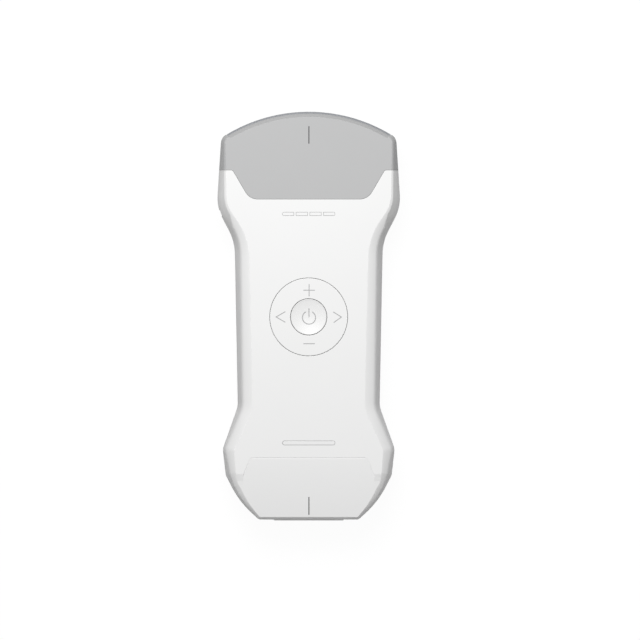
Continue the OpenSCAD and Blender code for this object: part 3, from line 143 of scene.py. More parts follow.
class Finish:
    def __init__(self, name, **constants):
        self.material = bpy.data.materials.new(name)
        self.material.use_nodes = True
        self.tree = self.material.node_tree
        self.shader = self.tree.nodes["Principled BSDF"]
        self.set(**constants)

    def set(self, **values):
        for name, value in values.items():
            plug(self.tree, self.shader.inputs[name.replace("_", " ")], value)

    def node(self, kind, settings, inputs, output=0):
        made = self.tree.nodes.new(kind)
        for name, value in settings.items():
            setattr(made, name, value)
        for name, value in inputs.items():
            plug(self.tree, made.inputs[name], value)
        return Wire(self.tree, made.outputs[output])

    def place(self, scale=(1, 1, 1)):
        here = self.node("ShaderNodeTexCoord", {}, {}, "Object")
        return self.node("ShaderNodeMapping", {}, {"Vector": here, "Scale": scale})

    def noise(self, size, detail=2, stretch=(1, 1, 1)):
        return self.node("ShaderNodeTexNoise", {}, {
            "Vector": self.place(stretch), "Scale": 1 / (size * MM), "Detail": detail,
            "Roughness": 0.55})

    def shade(self, mask, dark, light):
        return self.node("ShaderNodeMix", {"data_type": "RGBA"}, {
            0: mask, 6: (*dark, 1), 7: (*light, 1)}, 2)

    def bump(self, height, depth):
        bumped = self.node("ShaderNodeBump", {}, {
            "Height": height, "Distance": depth * MM, "Strength": 1.0})
        self.set(Normal=bumped)


print("sums ready")

# %% [markdown]
# ## Moulded plastic
#
# The case is moulded ABS with a satin texture that was eroded into the mould: a fine even
# grain, barely visible, which breaks up the gloss. Three things show it: the grain as a
# shallow bump, a roughness that wanders a little where hands have polished it, and a colour
# that is not perfectly even over the length. The same recipe serves the white case, the grey
# head and the smooth keys, with other numbers.

# %% Plastics
def around(tone, spread):
    return [c * (1 - spread) for c in tone], [min(1, c * (1 + spread)) for c in tone]


def moulded(name, tone, rough, grain=0.16, grain_depth=0.006, spread=0.012):
    finish = Finish(name, Specular_IOR_Level=0.42)
    drift = finish.noise(38, 3)
    polish = finish.noise(9, 4)
    fine = finish.noise(grain, 2)
    finish.set(Base_Color=finish.shade(drift, *around(tone, spread)),
               Roughness=polish * 0.12 + fine * 0.05 + (rough - 0.085))
    finish.bump(fine, grain_depth)
    return finish.material


finishes = {
    "white_plastic": moulded("moulded_white", (0.88, 0.88, 0.878), 0.46),
    "grey_plastic": moulded("moulded_grey", (0.485, 0.487, 0.489), 0.48),
    "light_plastic": moulded("moulded_pale_grey", (0.62, 0.62, 0.6), 0.45),
    "black_plastic": moulded("moulded_black", (0.02, 0.02, 0.022), 0.42, spread=0.1),
    "key_white": moulded("key_white", (0.88, 0.88, 0.878), 0.4, grain_depth=0.003),
}
print("plastics:", len(finishes))

# %% [markdown]
# ## Silicone and rubber
#
# The lens is a cast silicone with a blue-grey pigment. It is soft, so it has no crisp gloss,
# and its surface picks up the finest scratches from gel and wiping. The port cover and the
# screw plugs are a white elastomer, the gaskets a dark one, and the membrane under the keys
# is a milky silicone.

# %% Rubbers
def rubber(name, tone, rough, scuff=0.03, sheen=0.0):
    finish = Finish(name, Specular_IOR_Level=0.35, Sheen_Weight=sheen, Sheen_Roughness=0.4)
    cloud = finish.noise(16, 4)
    wiped = finish.noise(1.4, 3, stretch=(0.12, 1, 1))
    fine = finish.noise(0.12, 2)
    finish.set(Base_Color=finish.shade(cloud, *around(tone, scuff)),
               Roughness=wiped * 0.14 + cloud * 0.06 + (rough - 0.1))
    finish.bump(wiped * 0.35 + fine, 0.006)
    return finish.material


finishes.update({
    "lens_rubber": rubber("lens_silicone", (0.34, 0.355, 0.385), 0.5, scuff=0.04),
    "white_rubber": rubber("cover_elastomer", (0.86, 0.86, 0.858), 0.55, scuff=0.012, sheen=0.05),
    "grey_rubber": rubber("gasket_rubber", (0.09, 0.09, 0.095), 0.6, scuff=0.1),
    "silicone": rubber("membrane_silicone", (0.55, 0.57, 0.58), 0.42, scuff=0.03),
    "wire_red": rubber("wire_jacket", (0.5, 0.02, 0.015), 0.38, scuff=0.08),
})
print("rubbers ready:", len(finishes))

# %% [markdown]
# ## Metals
#
# Screws and the socket are plated steel, the spreader and the carrier are milled aluminium,
# and the inserts are turned brass. A cutter leaves lines along one way, so the noise is
# stretched along that way, and the lines show in the roughness and in a very shallow bump.
# Old fingerprints are a second, wider noise that dulls the gloss.

# %% Metals
def metal(name, tone, rough, stretch=(1, 0.05, 1), line=0.25):
    finish = Finish(name, Metallic=1.0)
    lines = finish.noise(line, 3, stretch=stretch)
    dull = finish.noise(6, 3)
    dark = [c * 0.88 for c in tone]
    finish.set(Base_Color=finish.shade(dull, dark, tone),
               Roughness=lines * 0.2 + dull * 0.12 + (rough - 0.16))
    finish.bump(lines, 0.004)
    return finish.material


finishes.update({
    "steel": metal("plated_steel", (0.58, 0.58, 0.57), 0.32, stretch=(1, 1, 0.1)),
    "aluminium": metal("milled_aluminium", (0.72, 0.73, 0.74), 0.36),
    "brass": metal("turned_brass", (0.78, 0.58, 0.28), 0.3, stretch=(1, 1, 0.05)),
    "battery_foil": metal("pouch_foil", (0.66, 0.67, 0.69), 0.42, stretch=(0.4, 1, 1), line=2.2),
})
print("metals ready:", len(finishes))

# %% [markdown]
# ## The boards
#
# A circuit board is green because of its solder mask. Under the mask the copper tracks stand
# up a little and shine through lighter, and the vias are small dots of plated copper. A
# board seen from above is a grid of straight runs, so a Chebychev cell pattern draws it:
# the borders between its square cells are the tracks, and the points at the cells' middles
# are the vias.

# %% Circuit board
def circuit_board(name):
    finish = Finish(name, Specular_IOR_Level=0.6)
    grid = {"Vector": finish.place(), "Scale": 420.0, "Randomness": 0.75}
    far_cell, near_cell = [
        finish.node("ShaderNodeTexVoronoi", {"distance": "CHEBYCHEV", "feature": feature}, grid)
        for feature in ("F2", "F1")]
    track = (far_cell - near_cell) < 0.12
    via = finish.node("ShaderNodeTexVoronoi", {}, grid) < 0.14
    weave = finish.noise(0.6, 2)
    mask = finish.shade(track, (0.008, 0.075, 0.03), (0.02, 0.15, 0.06))
    colour = finish.node("ShaderNodeMix", {"data_type": "RGBA"}, {
        0: via, 6: mask, 7: (0.75, 0.6, 0.3, 1)}, 2)
    finish.set(Base_Color=colour, Metallic=via * 0.9, Roughness=weave * 0.12 + 0.28)
    finish.bump(track + weave * 0.15, 0.02)
    return finish.material


finishes["circuit_board"] = circuit_board("solder_mask")
print("board ready")

# %% [markdown]
# ## The small technical finishes
#
# The flexible circuits are amber polyimide over copper, so lines run along them. The piezo
# elements are a fired ceramic, dense and a little speckled, and the matching layer and the
# backing are filled epoxy. The lights are moulded from a milky acrylic, and the lamps under
# them are white ceramic bodies with a drop of yellow phosphor.

# %% Technical finishes
def flex_circuit(name):
    finish = Finish(name, Specular_IOR_Level=0.6)
    across = finish.node("ShaderNodeTexWave", {"bands_direction": "X"}, {
        "Vector": finish.place(), "Scale": 260.0, "Distortion": 0.0, "Detail": 0.0}, 1)
    copper = across > 0.45
    cloud = finish.noise(3, 3)
    finish.set(Base_Color=finish.shade(copper, (0.42, 0.16, 0.03), (0.62, 0.3, 0.08)),
               Roughness=cloud * 0.15 + 0.22)
    finish.bump(copper + cloud * 0.3, 0.015)
    return finish.material


def filled(name, dark, light, rough, grain, gloss=0.5):
    finish = Finish(name, Specular_IOR_Level=gloss)
    speck = finish.noise(grain, 4)
    cloud = finish.noise(grain * 12, 2)
    finish.set(Base_Color=finish.shade(speck, dark, light), Roughness=cloud * 0.16 + (rough - 0.08))
    finish.bump(speck, 0.008)
    return finish.material


finishes.update({
    "polyimide": flex_circuit("flexible_circuit"),
    "ceramic": filled("fired_ceramic", (0.3, 0.29, 0.22), (0.5, 0.48, 0.38), 0.6, 0.25),
    "resin": filled("filled_epoxy", (0.05, 0.055, 0.06), (0.14, 0.14, 0.13), 0.5, 0.35),
    "lamp": filled("lamp_body", (0.75, 0.66, 0.2), (0.9, 0.85, 0.55), 0.3, 0.5),
    "clear_plastic": filled("milky_acrylic", (0.87, 0.87, 0.868), (0.9, 0.9, 0.9), 0.25, 1.2),
    "key_print": filled("pale_grey_ink", (0.42, 0.42, 0.425), (0.46, 0.46, 0.465), 0.55, 0.3, 0.3),
    "case_print": filled("dark_grey_ink", (0.07, 0.07, 0.073), (0.085, 0.085, 0.088), 0.55, 0.3, 0.3),
})
print("finishes:", sorted(finishes))

# %% [markdown]
# ## Every CAD piece gets its finish
#
# The record says which material each piece has. The pieces inside keep their CAD mesh, so
# only the material in their slot changes. The pieces that are drawn again further down stand
# for theirs.

# %% Finishes on the CAD pieces
slot_of = {part["node"]: part["material_slot"] for part in frame["record"]["subparts"]}

for name, node in frame["nodes"].items():
    node.data.materials.clear()
    node.data.materials.append(finishes[slot_of[name]])
print("CAD pieces with a finish:", len(frame["nodes"]))

# %% [markdown]
# ## The outline of the case
#
# Seen from above the case is one closed curve: the arc of the nose, and eight corners on each
# side that are joined by straight lines and rounded by arcs. The face stays a few millimetres
# inside that curve, and the distance changes from corner to corner. No primitive has such a
# rim, so this form is worked out in code: a row of points for the right half, moved inwards by
# a distance of its own at each corner, and mirrored. All lengths here are in millimetres.

# %% Outline
TIP, ARC_R = 78.1, 61.0
arc_y = TIP - ARC_R
corner_r, nose_r = ARC_R - 0.1, ARC_R - 0.8
tail_y = 0.4 - TIP
CORNERS = [Vector(p) for p in (
    (33.4, arc_y + math.sqrt(corner_r ** 2 - 33.4 ** 2)), (35.1, TIP - 36.5), (28.3, TIP - 49.7),
    (27.1, 43.5 - TIP), (32.85, 27.4 - TIP), (31.7, 17.3 - TIP), (26.45, 7.1 - TIP), (19.05, tail_y))]
# At each corner: its radius and the steps of its arc. Then the steps of the lines between them
ROUND = [4, 17, 20, 9.5, 6.5, 1.5, 36, 2]
STEPS = [12, 14, 14, 10, 10, 5, 12, 6]
RUNS = [6, 4, 16, 4, 4, 4, 4]
NOSE_STEPS = 40
# Rim at each corner: its width, its depth, and the shares of both that the drafted flank takes
NOSE_RIM = (1.4, 2.4, 0.8, 0.15)
RIMS = [(1.7, 3.4, 0.5, 0.28), (3.7, 7, 0.62, 0.2), (5.5, 9.5, 0.3, 0.34), (5.8, 9.5, 0.25, 0.34),
        (4.4, 7.5, 0.1, 0.6), (4, 9, 0.25, 0.45), (2.3, 6.5, 0.14, 0.6), (1.1, 5, 0.2, 0.6)]


def cross(u, v):
    return u.x * v.y - u.y * v.x


def side_way(i):
    ahead = CORNERS[i + 1] if i + 1 < len(CORNERS) else Vector((0, tail_y))
    return (ahead - CORNERS[i]).normalized()


def inset_corner(i, nose, insets):
    if i == 0:
        x = CORNERS[0].x - insets[0]
        return Vector((x, arc_y + math.sqrt((corner_r - nose) ** 2 - x ** 2)))
    u, v = side_way(i - 1), side_way(i)
    p = CORNERS[i] + Vector((u.y, -u.x)) * insets[i]
    q = CORNERS[i] + Vector((v.y, -v.x)) * insets[i]
    return p + u * (cross(q - p, v) / cross(u, v))


def rounded(p, u, v, r, steps):
    way = 1 if cross(u, v) > 0 else -1
    turn = math.acos(min(1, u.dot(v)))
    start = p - u * r * math.tan(turn / 2)
    centre = start + Vector((-u.y, u.x)) * way * r
    arm = start - centre
    angles = [way * turn * k / steps for k in range(steps + 1)]
    return [centre + Vector((arm.x * math.cos(a) - arm.y * math.sin(a),
                             arm.x * math.sin(a) + arm.y * math.cos(a))) for a in angles]


def between(a, b, share):
    return tuple(p + (q - p) * share for p, q in zip(a, b))


def half_outline(nose, insets):
    corners = [inset_corner(i, nose, insets) for i in range(len(CORNERS))]
    end = math.asin(corners[0].x / (corner_r - nose))
    ends = corners + [Vector((0, corners[-1].y))]
    ways = [Vector((math.cos(end), -math.sin(end)))]
    ways += [(ends[i + 1] - ends[i]).normalized() for i in range(len(corners))]
    arcs = []
    for i, p in enumerate(corners):
        bulges = cross(ways[i], ways[i + 1]) > 0
        r = ROUND[i] + insets[i] if bulges and i else max(ROUND[i] - insets[i], ROUND[i] * 0.25)
        arcs.append(rounded(p, ways[i], ways[i + 1], r, STEPS[i]))
    lead = (arcs[0][0] - corners[0]).length
    nose_end = end - lead / (corner_r - nose)
    angles = [nose_end * k / NOSE_STEPS for k in range(NOSE_STEPS)]
    points = [Vector(((nose_r - nose) * math.sin(a), arc_y + (nose_r - nose) * math.cos(a)))
              for a in angles]
    rims = [NOSE_RIM] * NOSE_STEPS
    for i, arc in enumerate(arcs):
        points += arc
        before = NOSE_RIM if i == 0 else RIMS[i]
        rims += [between(before, RIMS[i], k / STEPS[i]) for k in range(len(arc))]
        for k in range(1, RUNS[i] if i < len(RUNS) else 1):
            share = k / RUNS[i]
            points.append(arc[-1].lerp(arcs[i + 1][0], share))
            rims.append(between(RIMS[i], RIMS[i + 1], share))
    return points, rims


def closed(half):
    points, rims = half
    left = [Vector((-p.x, p.y)) for p in points[:0:-1]]
    return points + left, rims + rims[:0:-1]


def evenly_inside(inset):
    return closed(half_outline(inset, [inset] * len(CORNERS)))


flank = evenly_inside(0)[0]
print("points round the case:", len(flank), "widest half:", round(max(p.x for p in flank), 2))

# %% [markdown]
# ## The section of the rim
#
# Going inwards from the flank the rim has a wall that leans in more and more, a firm rounding,
# a gentle bevel that flattens a little, and a last soft turn into the flat face. How much of
# the rim the wall takes changes along the case: most of it at the nose and the shoulders, and
# a tenth to a quarter of it towards the tail. So the section is a function of those shares.
# The two roundings are short curves whose control point lies where the neighbouring stretches
# would meet.

# %% Section
def soft_turn(a, b, c, steps):
    return [tuple((1 - t) ** 2 * p + 2 * t * (1 - t) * q + t * t * r for p, q, r in zip(a, b, c))
            for t in [k / steps for k in range(1, steps + 1)]]


# Every point is a share of the rim's width and depth. The wall takes `wide` and leaves `deep`,
# the bevel runs from `bevel` to `brim`, and the first rounding's control point is at `meet`.
def section(wide, deep):
    rest, lean, bow = 1 - wide, 1.4, 0.25
    bevel, brim = (wide + 0.315 * rest, 0.4265 * deep), (wide + 0.89 * rest, 0.047 * deep)
    wall, slope = (1 - deep) / wide / lean, 0.66 * deep / rest * (1 + bow)
    meet = (deep - bevel[1] + wall * wide - slope * bevel[0]) / (wall - slope)
    meet = min(max(meet, wide), bevel[0])
    rings = [(wide * (k / 6) ** lean, 1 + (deep - 1) * k / 6) for k in range(7)]
    rings += soft_turn((wide, deep), (meet, bevel[1] + slope * (bevel[0] - meet)), bevel, 9)
    for ahead in [0.75, 0.5, 0.25, 0]:
        fall = ahead * (1 - bow) + ahead * ahead * bow
        rings.append((brim[0] + (bevel[0] - brim[0]) * ahead, brim[1] + (bevel[1] - brim[1]) * fall))
    return rings + soft_turn(brim, (wide + 0.985 * rest, 0), (1, 0), 4)


RINGS = len(section(0.27, 0.34))
print("rings in the rim:", RINGS)

# %% [markdown]
# ## A case half as a cup
#
# The face lies level down to its crease near the tail. There it drops by a fine step, and then
# it bends down more and more: `sink` says how far, and the rim beside it follows.
#
# Rings of points are stacked from the parting line up the outer side, over the rim to the
# face, and back down the inner side. Neighbouring rings are joined by four-sided faces, and
# two caps close the face outside and inside. One ring lies a little inside the face's edge,
# flat, so that the smooth shading of the rim ends there. The edge at the parting line is
# broken by a fine chamfer, which later shows as the seam between the two halves.

# %% Rings and cups
# The crease, and the foot of the lobes, from where on the sloping face reaches the flanks
crease_y, foot_y = 24.2 - TIP, 17.3 - TIP
# The width and the depth of the fine step at the crease
DROP_W, DROP = 0.12, 0.13
# Printed signs are this thick, and the faces lie that much below the top of the CAD model
INK = 0.04
FACE = THICK - INK
# The wall of the case, the chamfer at its parting line, and where the shading of the rim ends
WALL, CHAMFER, FLAT_BORDER = 2, 0.12, 0.3


def sink(y):
    past = crease_y - y
    if past < DROP_W:
        return max(0, past) / DROP_W * DROP
    bent = 0.07 + 0.0437 * past + 0.00204 * past * past
    return max(bent, DROP - 0.05 * (past - DROP_W))


# The outer rim sinks from the foot of the lobes on, over 5 mm, to just above the face
def rim_sink(y):
    return sink(y) * min(1, max(0, foot_y - y) / 5) * 0.97


def ring(points, heights):
    return [(p.x, p.y, z) for p, z in zip(points, heights)]


def crest_loop(extra):
    return closed(half_outline(NOSE_RIM[0] + extra, [rim[0] + extra for rim in RIMS]))[0]


def rings_over_rim(inset, extra, high, scale, sinking=rim_sink):
    outer, rims = evenly_inside(inset)
    crest = crest_loop(extra)
    shapes = [section(rim[2], rim[3]) for rim in rims]
    sinks = [sinking(p.y) for p in crest]
    made = []
    for k in range(RINGS):
        place = [a.lerp(b, shape[k][0]) for a, b, shape in zip(outer, crest, shapes)]
        made.append(ring(place, [high - s - shape[k][1] * (rim[1] * scale - s)
                                 for rim, s, shape in zip(rims, sinks, shapes)]))
    return outer, made


def built(name, points, edges=(), faces=()):
    mesh = bpy.data.meshes.new(name)
    mesh.from_pydata([tuple(c * MM for c in p) for p in points], edges, faces)
    piece = bpy.data.objects.new(name, mesh)
    bpy.context.scene.collection.objects.link(piece)
    return piece


# With `wrap` the last ring is joined to the first, and the gap after ring `wrap` stays open
def body(name, rings, wrap=False):
    count = len(rings[0])
    faces = []
    for k in range(len(rings) - (0 if wrap else 1)):
        a, b = k * count, (k + 1) % len(rings) * count
        if wrap and k == wrap:
            continue
        faces += [(b + i, b + (i + 1) % count, a + (i + 1) % count, a + i) for i in range(count)]
    return built(name, [p for r in rings for p in r], faces=faces)


# A level ring is closed by one face, and the bent ring inside by strips from side to side
def cap(piece, first, count, turned, flat=True):
    if flat:
        strips = [list(range(count))]
    else:
        strips = [[0, 1, count - 1]]
        strips += [[i, i + 1, count - i - 1, count - i] for i in range(1, (count + 1) // 2)]
    made = bmesh.new()
    made.from_mesh(piece.data)
    made.verts.ensure_lookup_table()
    for strip in strips:
        ids = list(dict.fromkeys(strip))
        if len(ids) > 2:
            made.faces.new([made.verts[first + n] for n in (ids if turned else reversed(ids))])
    made.to_mesh(piece.data)
    made.free()


def cup(name):
    outer, outside = rings_over_rim(0, 0, FACE, 1)
    inner, inside = rings_over_rim(WALL, 0.8, THICK - WALL, 1 - WALL / PARTING, sink)
    count = len(outer)
    rings = [ring(evenly_inside(CHAMFER)[0], [PARTING] * count)]
    rings += [ring(outer, [PARTING + CHAMFER] * count)]
    rings += outside + [ring(crest_loop(FLAT_BORDER), [FACE] * count)]
    top = len(rings) - 1
    rings += inside[::-1] + [ring(inner, [PARTING] * count)]
    piece = body(name, rings, wrap=top)
    cap(piece, top * count, count, False)
    cap(piece, (top + 1) * count, count, True, flat=False)
    return piece


def whole(name, inset, extra, low, high):
    outer, over = rings_over_rim(inset, extra, high, (high - low) / THICK)
    count, border = len(outer), crest_loop(extra + FLAT_BORDER)
    under = [[(x, y, low + high - z) for x, y, z in r] for r in over[::-1]]
    rings = [ring(border, [low] * count)] + under + over + [ring(border, [high] * count)]
    piece = body(name, rings)
    cap(piece, (len(rings) - 1) * count, count, False)
    cap(piece, 0, count, True)
    return piece


print("cups ready")

# %% [markdown]
# ## Working by hand, in code
#
# The smaller pieces start from a primitive, a turned profile or an outline, which `start`,
# `lathe` and `prism` make. `pick` selects faces or edges by where they lie, and `cut` takes one
# body out of another with a Boolean modifier. `smooth` says which edges stay sharp, and `dress`
# gives a piece its finish and its body and hides the CAD pieces that it stands for.

# %% Hand tools
def start(name, kind, **sizes):
    bpy.ops.object.select_all(action="DESELECT")
    getattr(bpy.ops.mesh, "primitive_%s_add" % kind)(**sizes)
    piece = bpy.context.object
    piece.name = piece.data.name = name
    bpy.ops.object.transform_apply(location=True, rotation=True, scale=True)
    return piece


def lone(piece):
    bpy.ops.object.select_all(action="DESELECT")
    piece.select_set(True)
    bpy.context.view_layer.objects.active = piece


def pick(piece, test, kind="faces"):
    mesh = bmesh.from_edit_mesh(piece.data)
    for part in (*mesh.verts, *mesh.edges, *mesh.faces):
        part.select = False
    for part in [p for p in getattr(mesh, kind) if test(p)]:
        part.select = True
    bpy.context.tool_settings.mesh_select_mode = (False, kind == "edges", kind == "faces")
    mesh.select_flush_mode()
    bmesh.update_edit_mesh(piece.data)


def cut(piece, *cutters, operation="DIFFERENCE"):
    for cutter in cutters:
        lone(piece)
        boolean = piece.modifiers.new("cut", "BOOLEAN")
        boolean.operation, boolean.object, boolean.solver = operation, cutter, "EXACT"
        bpy.ops.object.modifier_apply(modifier=boolean.name)
        bpy.data.objects.remove(cutter)
    return piece


WELD = 0.0004 * MM


# Edges sharper than the angle stay sharp, and so do the borders of what `flats` calls flat
def smooth(piece, angle, flats=()):
    mesh = bmesh.new()
    mesh.from_mesh(piece.data)
    bmesh.ops.remove_doubles(mesh, verts=mesh.verts, dist=WELD)
    bmesh.ops.dissolve_degenerate(mesh, edges=mesh.edges, dist=WELD)
    bmesh.ops.delete(mesh, geom=[e for e in mesh.edges if not e.link_faces], context="EDGES")
    limit = math.radians(angle)
    for face in mesh.faces:
        face.smooth = True
    for edge in mesh.edges:
        pair = edge.link_faces
        edge.smooth = len(pair) == 2 and pair[0].normal.angle(pair[1].normal, 0) < limit
        if any(len(pair) == 2 and flat(pair[0]) != flat(pair[1]) for flat in flats):
            edge.smooth = False
    mesh.to_mesh(piece.data)
    mesh.free()


def level_face(face):
    return abs(face.normal.z) > 0.99996


# The bent face at the tail leans back by 0.8 to 8.7 degrees, and never to a side
def sloping_face(face):
    n = face.normal
    return abs(n.x) < 0.002 and 0.9885 < abs(n.z) < 0.9999 and n.y < 0


def prism(name, outline, low, high):
    count = len(outline)
    points = [(p[0], p[1], z) for z in (low, high) for p in outline]
    faces = [tuple(range(count))[::-1], tuple(range(count, 2 * count))]
    faces += [(i, (i + 1) % count, count + (i + 1) % count, count + i) for i in range(count)]
    return built(name, points, faces=faces)


def spun(piece, at, angle, steps):
    lone(piece)
    bpy.ops.object.mode_set(mode="EDIT")
    bpy.ops.mesh.select_all(action="SELECT")
    bpy.ops.mesh.spin(steps=steps, angle=angle, center=(at[0] * MM, at[1] * MM, 0), axis=(0, 0, 1))
    bpy.ops.mesh.select_all(action="SELECT")
    bpy.ops.mesh.remove_doubles(threshold=0.001 * MM)
    bpy.ops.mesh.normals_make_consistent(inside=False)
    bpy.ops.object.mode_set(mode="OBJECT")
    return piece


def lathe(name, profile, at, steps):
    points, count = [(at[0] + r, at[1], z) for r, z in profile], len(profile)
    piece = built(name, points, edges=[(i, (i + 1) % count) for i in range(count)])
    return spun(piece, at, math.tau, steps)


def join(piece, *others):
    lone(piece)
    for other in others:
        other.select_set(True)
    bpy.ops.object.join()
    return piece


def dress(piece, finish, rides, *stands_for):
    piece.data.materials.clear()
    piece.data.materials.append(finishes[finish])
    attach(piece, rides)
    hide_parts(*stands_for)
    test = bmesh.new()
    test.from_mesh(piece.data)
    open_edges = sum(len(e.link_faces) != 2 for e in test.edges)
    print(piece.name, "faces:", len(test.faces), "open edges:", open_edges,
          "volume in mm3:", round(test.calc_volume(signed=True) / MM ** 3))
    test.free()

# %% [markdown]
# ## What is taken out of the case
#
# Behind the crease near the tail the face drops by its fine step and bends down, and the two
# lobes beside it end in short ramps. The grey head covers the nose with a border that runs
# straight in from both flanks, slants back and crosses the face as a broad tongue. The keys
# sit in one round hole whose upper edge is rounded, and the lights in slots. At the tail the
# cover has its pocket, and in the left flank is the index notch.

# %% Cutters
def outward(piece):
    check = bmesh.new()
    check.from_mesh(piece.data)
    bmesh.ops.recalc_face_normals(check, faces=check.faces)
    check.to_mesh(piece.data)
    open_edges = sum(len(e.link_faces) != 2 for e in check.edges)
    check.free()
    return open_edges


def rounded_loop(corners, steps):
    points, spots = [], [Vector(p) for p, r in corners]
    for i, (p, (_, r)) in enumerate(zip(spots, corners)):
        u = (p - spots[i - 1]).normalized()
        v = (spots[(i + 1) % len(spots)] - p).normalized()
        points += rounded(p, u, v, r, steps) if r else [p]
    return points


# Cutters reach this far out from the middle
FAR = 60
# The two ends of the head's slanting border: x and the distance from the tip
BORDER_OUT, BORDER_IN = (29, 22.4), (22.5, 33.5)


def head_cutter(grow):
    slant = Vector((BORDER_OUT[0] - BORDER_IN[0], BORDER_IN[1] - BORDER_OUT[1])).normalized()
    shift = grow * (1 - slant.x) / slant.y
    side, tongue = TIP - BORDER_OUT[1] - grow, TIP - BORDER_IN[1] - grow
    right = [((FAR, 2 * FAR), 0), ((FAR, side), 0), ((BORDER_OUT[0] + shift, side), 1),
             ((BORDER_IN[0] + shift, tongue), 5.5)]
    left = [((-x, y), r) for (x, y), r in right[::-1]]
    return prism("head cutter", rounded_loop(right + left, 12)[::-1], -5, 30)


# Half width of the sloping face at some distances past the crease: its corners are rounded
EDGE = [(-0.3, 20.4), (0, 21.2), (0.12, 21.6), (0.35, 22), (0.7, 22.4), (1.2, 22.8),
        (crease_y - foot_y, 25)]
STATIONS = [-0.3, 0, 0.12, 0.35, 0.7, 1.2, 2, 3, 4, 5, 6, 6.9, 8, 9, 10.5, 12, 14, 16, 18, 20, 22,
            24, 30]


# Rows of six points across the case, one for each station, and the same rows high above them.
# A row lies on the sloping face, and beside it on the ramps of the lobes, which come down from
# 0.3 mm above the face, 5 mm past the crease, by 0.22 mm in each millimetre.
def facet_cutter():
    points, faces, across = [], [], 6
    for past in STATIONS:
        half = EDGE[-1][1]
        for (a, low), (b, high) in zip(EDGE, EDGE[1:]):
            if a <= past <= b:
                half = low + (high - low) * (past - a) / (b - a)
        y = crease_y - past
        level = FACE - sink(y) if past > 0 else FACE + 0.1 * (past < 0)
        lobe = max(level, min(FACE + 0.3, FACE + 0.3 - (past - 5) * 0.22))
        row = [(FAR, lobe), (half + 0.08, lobe), (half, level)]
        points += [(-x, y, z) for x, z in row] + [(x, y, z) for x, z in row[::-1]]
    low = len(points)
    points += [(x, y, 40) for x, y, z in points]
    last = len(STATIONS) - 1
    for a in [k * across + i for k in range(last) for i in range(across - 1)]:
        for b in (a, low + a):
            faces.append((b, b + 1, b + across + 1, b + across))
    walls = [(k * across + i, (k + 1) * across + i) for k in range(last) for i in (0, across - 1)]
    walls += [(k * across + i, k * across + i + 1) for k in (0, last) for i in range(across - 1)]
    faces += [(a, b, low + b, low + a) for a, b in walls]
    piece = built("facet cutter", points, faces=faces)
    print("facet cutter open edges:", outward(piece))
    return piece


def turned_over(piece):
    for vertex in piece.data.vertices:
        vertex.co.z = THICK * MM - vertex.co.z
    piece.data.flip_normals()
    return piece


KEYS_Y = -0.35


def hole_cutter(r, flare):
    edge = [(r + flare * (1 - math.cos(t)), FACE - flare * (1 - math.sin(t)))
            for t in [math.pi / 2 * k / 6 for k in range(7)]]
    profile = [(0, 20), (r, 20)] + edge + [(r + flare, 30), (0, 30)]
    return lathe("hole cutter", profile, (0, KEYS_Y), 160)


# Each end is a half circle of ten steps or has two square corners
def slot_outline(cx, cy, long, wide, round_left=True, round_right=True):
    r, loop = wide / 2, []
    for side, is_round in ((1, round_right), (-1, round_left)):
        x = cx + side * (long / 2 - (r if is_round else 0))
        for k in range(11) if is_round else (0, 10):
            a = math.pi * k / 10 - math.pi / 2
            dx = r * math.cos(a) if is_round else 0
            loop.append((x + side * dx, cy + side * r * math.sin(a)))
    return loop


LIGHTS, LIGHTS_LONG, LIGHT_GAP = 4, 20, 0.95
LIGHT = (LIGHTS_LONG - (LIGHTS - 1) * LIGHT_GAP) / LIGHTS
battery_slots = [((i - 1.5) * (LIGHT + LIGHT_GAP), TIP - 39.15, LIGHT, 1.2, i == 0, i == LIGHTS - 1)
                 for i in range(LIGHTS)]
status_slot = (0, 29.7 - TIP, LIGHTS_LONG, 1.5, True, True)


def slot_cutters(grow):
    return [prism("slot", slot_outline(x, y, l + 2 * grow, w + 2 * grow, a, b), 20, 30)
            for x, y, l, w, a, b in (*battery_slots, status_slot)]


# The pocket of the cover, and the mouth of the socket in its floor, drawn flat and set upright
def port_cutters():
    floor_y = -76.05
    loop = [(-13.4, -80), (13.4, -80), (13.4, floor_y), (-13.4, floor_y)]
    pocket = prism("pocket", loop, 8.2, 17.0)
    mouth = prism("mouth", slot_outline(0, 12.53, 9.14, 3.46), -4, 1)
    for vertex in mouth.data.vertices:
        vertex.co = (vertex.co.x, floor_y * MM - vertex.co.z, vertex.co.y)
    mouth.data.flip_normals()
    return [pocket, mouth]


def flank_x(y):
    for a, b in zip(flank, flank[1:]):
        if a.y >= y > b.y and a.x > 19:
            return a.x + (b.x - a.x) * (a.y - y) / (a.y - b.y)


# A cylinder that cuts a chord of the notch's length and depth
def notch_cutter():
    y, long, deep = TIP - 38.8, 2.7, 0.5
    r = (long ** 2 / 4 + deep ** 2) / (2 * deep)
    low, high = [Vector((-flank_x(end), end)) for end in (y - long / 2, y + long / 2)]
    chord = (high - low).normalized()
    middle = (low + high) / 2 + Vector((-chord.y, chord.x)) * (r - deep)
    return lathe("notch", [(0, 6), (r, 6), (r, 19), (0, 19)], tuple(middle), 64)


print("cutters ready; a light is", round(LIGHT, 2), "mm long")

# %% [markdown]
# ## The front half of the case
#
# The cup loses what the cutters take. Behind the face stand the bosses for the brass inserts,
# the posts of the keypad board and the ring that clamps the membrane. They are turned from
# profiles and rooted in the wall.

# %% Front shell
# Where the case screws stand
SCREW_X, NOSE_SCREW_Y, TAIL_SCREW_Y = 24.6, TIP - 42, 28.2 - TIP
ROOT = 23.6


# A post from its mouth to its root in the wall, with a blind bore of some depth in the mouth
def boss(r, bore, mouth, root, at, depth):
    floor = mouth + math.copysign(depth, root - mouth)
    profile = [(bore, mouth), (r, mouth), (r, root), (0, root), (0, floor), (bore, floor)]
    return lathe("boss", profile, at, 40)


